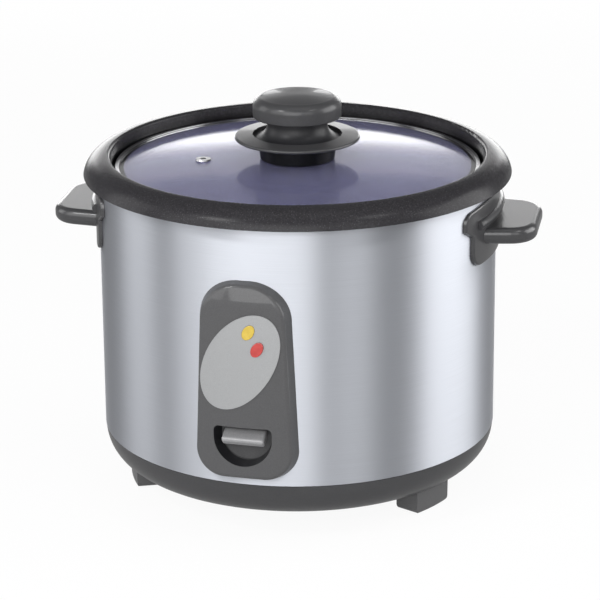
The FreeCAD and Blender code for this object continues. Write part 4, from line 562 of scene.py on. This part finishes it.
# Knob
# A domed cap on a dark neck and a dished skirt, all moulded in satin plastic, over a soft black ring.
# One plated screw from below clamps them to the glass, with a washer under its head.
knob_grey = grained("knob_grey", (0.042, 0.042, 0.044), (0.049, 0.049, 0.051),
                    roughness=0.36, grain=1500, relief=0.00002, polish=0.25, shine=0.28)
neck_dark = grained("neck_dark", (0.016, 0.016, 0.018), (0.021, 0.021, 0.023),
                    roughness=0.40, grain=1500, relief=0.00002, shine=0.25)
gasket_black = grained("gasket_black", (0.003, 0.003, 0.004), (0.005, 0.005, 0.006),
                       roughness=0.4, grain=900, relief=0.00003, polish=0.1, shine=0.15)
finish_nodes(knob_grey, "knob_skirt", "knob_cap")
finish_nodes(neck_dark, "knob_neck")
finish_nodes(gasket_black, "knob_gasket", "knob_washer")
finish_nodes(plated, "knob_screw")

# Studio
# A sheet of pale paper under the cooker, softboxes round it and a white backdrop.
# A long lens looks down from slightly right of the panel.
paper_reach = 12.0
paper_glow = 0.93
mirrored_glow = 0.35
floor_mesh = bpy.data.meshes.new("floor")
floor_corners = [
    (-paper_reach, -paper_reach, 0),
    (paper_reach, -paper_reach, 0),
    (paper_reach, paper_reach, 0),
    (-paper_reach, paper_reach, 0),
]
floor_mesh.from_pydata(floor_corners, [], [(0, 1, 2, 3)])
floor = bpy.data.objects.new("floor", floor_mesh)
bpy.context.collection.objects.link(floor)


def seen_directly(tree):
    """Share of rays straight from the camera or through glass, and all the kinds of ray."""
    ray = tree.nodes.new("ShaderNodeLightPath").outputs
    direct = tree.nodes.new("ShaderNodeMath")
    direct.operation = "MAXIMUM"
    tree.links.new(ray["Is Camera Ray"], direct.inputs[0])
    tree.links.new(ray["Is Transmission Ray"], direct.inputs[1])
    return direct.outputs["Value"], ray


# The paper glows where it is looked at, less so in mirrors, and the rest of it keeps the cooker's shadow.
paper = bpy.data.materials.new("studio_paper")
paper.use_nodes = True
paper_tree = paper.node_tree
paper_shader = paper_tree.nodes["Principled BSDF"]
paper_shader.inputs["Base Color"].default_value = (0.86, 0.86, 0.86, 1)
paper_shader.inputs["Roughness"].default_value = 0.9
paper_direct, paper_ray = seen_directly(paper_tree)
looked_at = paper_tree.nodes.new("ShaderNodeMath")
looked_at.operation = "MAXIMUM"
glow_share = paper_tree.nodes.new("ShaderNodeMath")
glow_share.operation = "MULTIPLY"
glow_share.inputs[1].default_value = paper_glow
dimmed = paper_tree.nodes.new("ShaderNodeMath")
dimmed.operation = "MULTIPLY_ADD"
dimmed.inputs[1].default_value = mirrored_glow - 1.0
dimmed.inputs[2].default_value = 1.0
glow = paper_tree.nodes.new("ShaderNodeEmission")
paper_blend = paper_tree.nodes.new("ShaderNodeMixShader")
paper_tree.links.new(paper_direct, looked_at.inputs[0])
paper_tree.links.new(paper_ray["Is Glossy Ray"], looked_at.inputs[1])
paper_tree.links.new(looked_at.outputs["Value"], glow_share.inputs[0])
paper_tree.links.new(paper_ray["Is Glossy Ray"], dimmed.inputs[0])
paper_tree.links.new(dimmed.outputs["Value"], glow.inputs["Strength"])
paper_tree.links.new(glow_share.outputs["Value"], paper_blend.inputs["Fac"])
paper_tree.links.new(paper_shader.outputs["BSDF"], paper_blend.inputs[1])
paper_tree.links.new(glow.outputs["Emission"], paper_blend.inputs[2])
paper_tree.links.new(paper_blend.outputs["Shader"], paper_tree.nodes["Material Output"].inputs["Surface"])
floor_mesh.materials.append(paper)

studio = bpy.data.worlds.new("studio")
bpy.context.scene.world = studio
studio.use_nodes = True
sky_tree = studio.node_tree
room_light = sky_tree.nodes["Background"]
room_light.inputs["Color"].default_value = (0.20, 0.20, 0.205, 1)
backdrop = sky_tree.nodes.new("ShaderNodeBackground")
backdrop.inputs["Color"].default_value = (1, 1, 1, 1)
sky_blend = sky_tree.nodes.new("ShaderNodeMixShader")
sky_tree.links.new(seen_directly(sky_tree)[0], sky_blend.inputs["Fac"])
sky_tree.links.new(room_light.outputs["Background"], sky_blend.inputs[1])
sky_tree.links.new(backdrop.outputs["Background"], sky_blend.inputs[2])
sky_tree.links.new(sky_blend.outputs["Shader"], sky_tree.nodes["World Output"].inputs["Surface"])

view_turn = 15.0
view_rise = 18.76
view_distance = 1.785
view_roll = -0.45
aim = Vector((0, 0, 0.1194))


def round_the_cooker(turn, rise, distance):
    """Point at an angle from the camera's side of the cooker."""
    swing = math.radians(view_turn + turn)
    lift = math.radians(rise)
    level = math.cos(lift)
    way = Vector((math.sin(swing) * level, -math.cos(swing) * level, math.sin(lift)))
    return aim + way * distance


def softbox(name, turn, rise, distance, width, height, power):
    """Rectangular lamp that faces the cooker."""
    lamp = bpy.data.lights.new(name, "AREA")
    lamp.shape = "RECTANGLE"
    lamp.size = width
    lamp.size_y = height
    lamp.energy = power
    holder = bpy.data.objects.new(name, lamp)
    holder.location = round_the_cooker(turn, rise, distance)
    holder.rotation_euler = (aim - holder.location).to_track_quat("-Z", "Y").to_euler()
    holder.visible_camera = False
    bpy.context.collection.objects.link(holder)


softbox("front_box", turn=-13, rise=18, distance=1.6, width=1.3, height=1.04, power=17)
softbox("front_left_box", turn=-55, rise=18, distance=1.6, width=0.95, height=1.04, power=6.6)
softbox("right_box", turn=94, rise=18, distance=1.6, width=1.35, height=1.04, power=17.5)
softbox("left_box", turn=-100, rise=18, distance=1.6, width=0.75, height=1.04, power=5)
softbox("front_right_box", turn=29, rise=18, distance=1.6, width=0.6, height=1.04, power=3.4)
softbox("back_left_box", turn=193.5, rise=6.5, distance=2.0, width=0.78, height=0.60, power=5.7)
softbox("back_right_box", turn=166.5, rise=6.5, distance=2.0, width=0.78, height=0.60, power=5.7)
softbox("back_middle_box", turn=180, rise=18, distance=2.0, width=2.4, height=0.26, power=1.2)
softbox("top_box", turn=0, rise=80, distance=1.6, width=1.0, height=1.0, power=1.5)
softbox("spark_left_box", turn=-48, rise=42, distance=1.6, width=0.34, height=0.22, power=5)
softbox("spark_right_box", turn=50, rise=50, distance=1.6, width=0.34, height=0.22, power=1.9)

camera_data = bpy.data.cameras.new("camera")
camera_data.sensor_width = 36.0
camera_data.lens = 164.3
camera_data.shift_x = 0.00233
camera_data.shift_y = -0.0035
camera = bpy.data.objects.new("camera", camera_data)
camera.location = round_the_cooker(0, view_rise, view_distance)
upright_view = (aim - camera.location).to_track_quat("-Z", "Y")
camera.rotation_euler = (upright_view @ Quaternion((0, 0, 1), math.radians(view_roll))).to_euler()
bpy.context.collection.objects.link(camera)
bpy.context.scene.camera = camera
bpy.context.scene.view_settings.view_transform = "Standard"
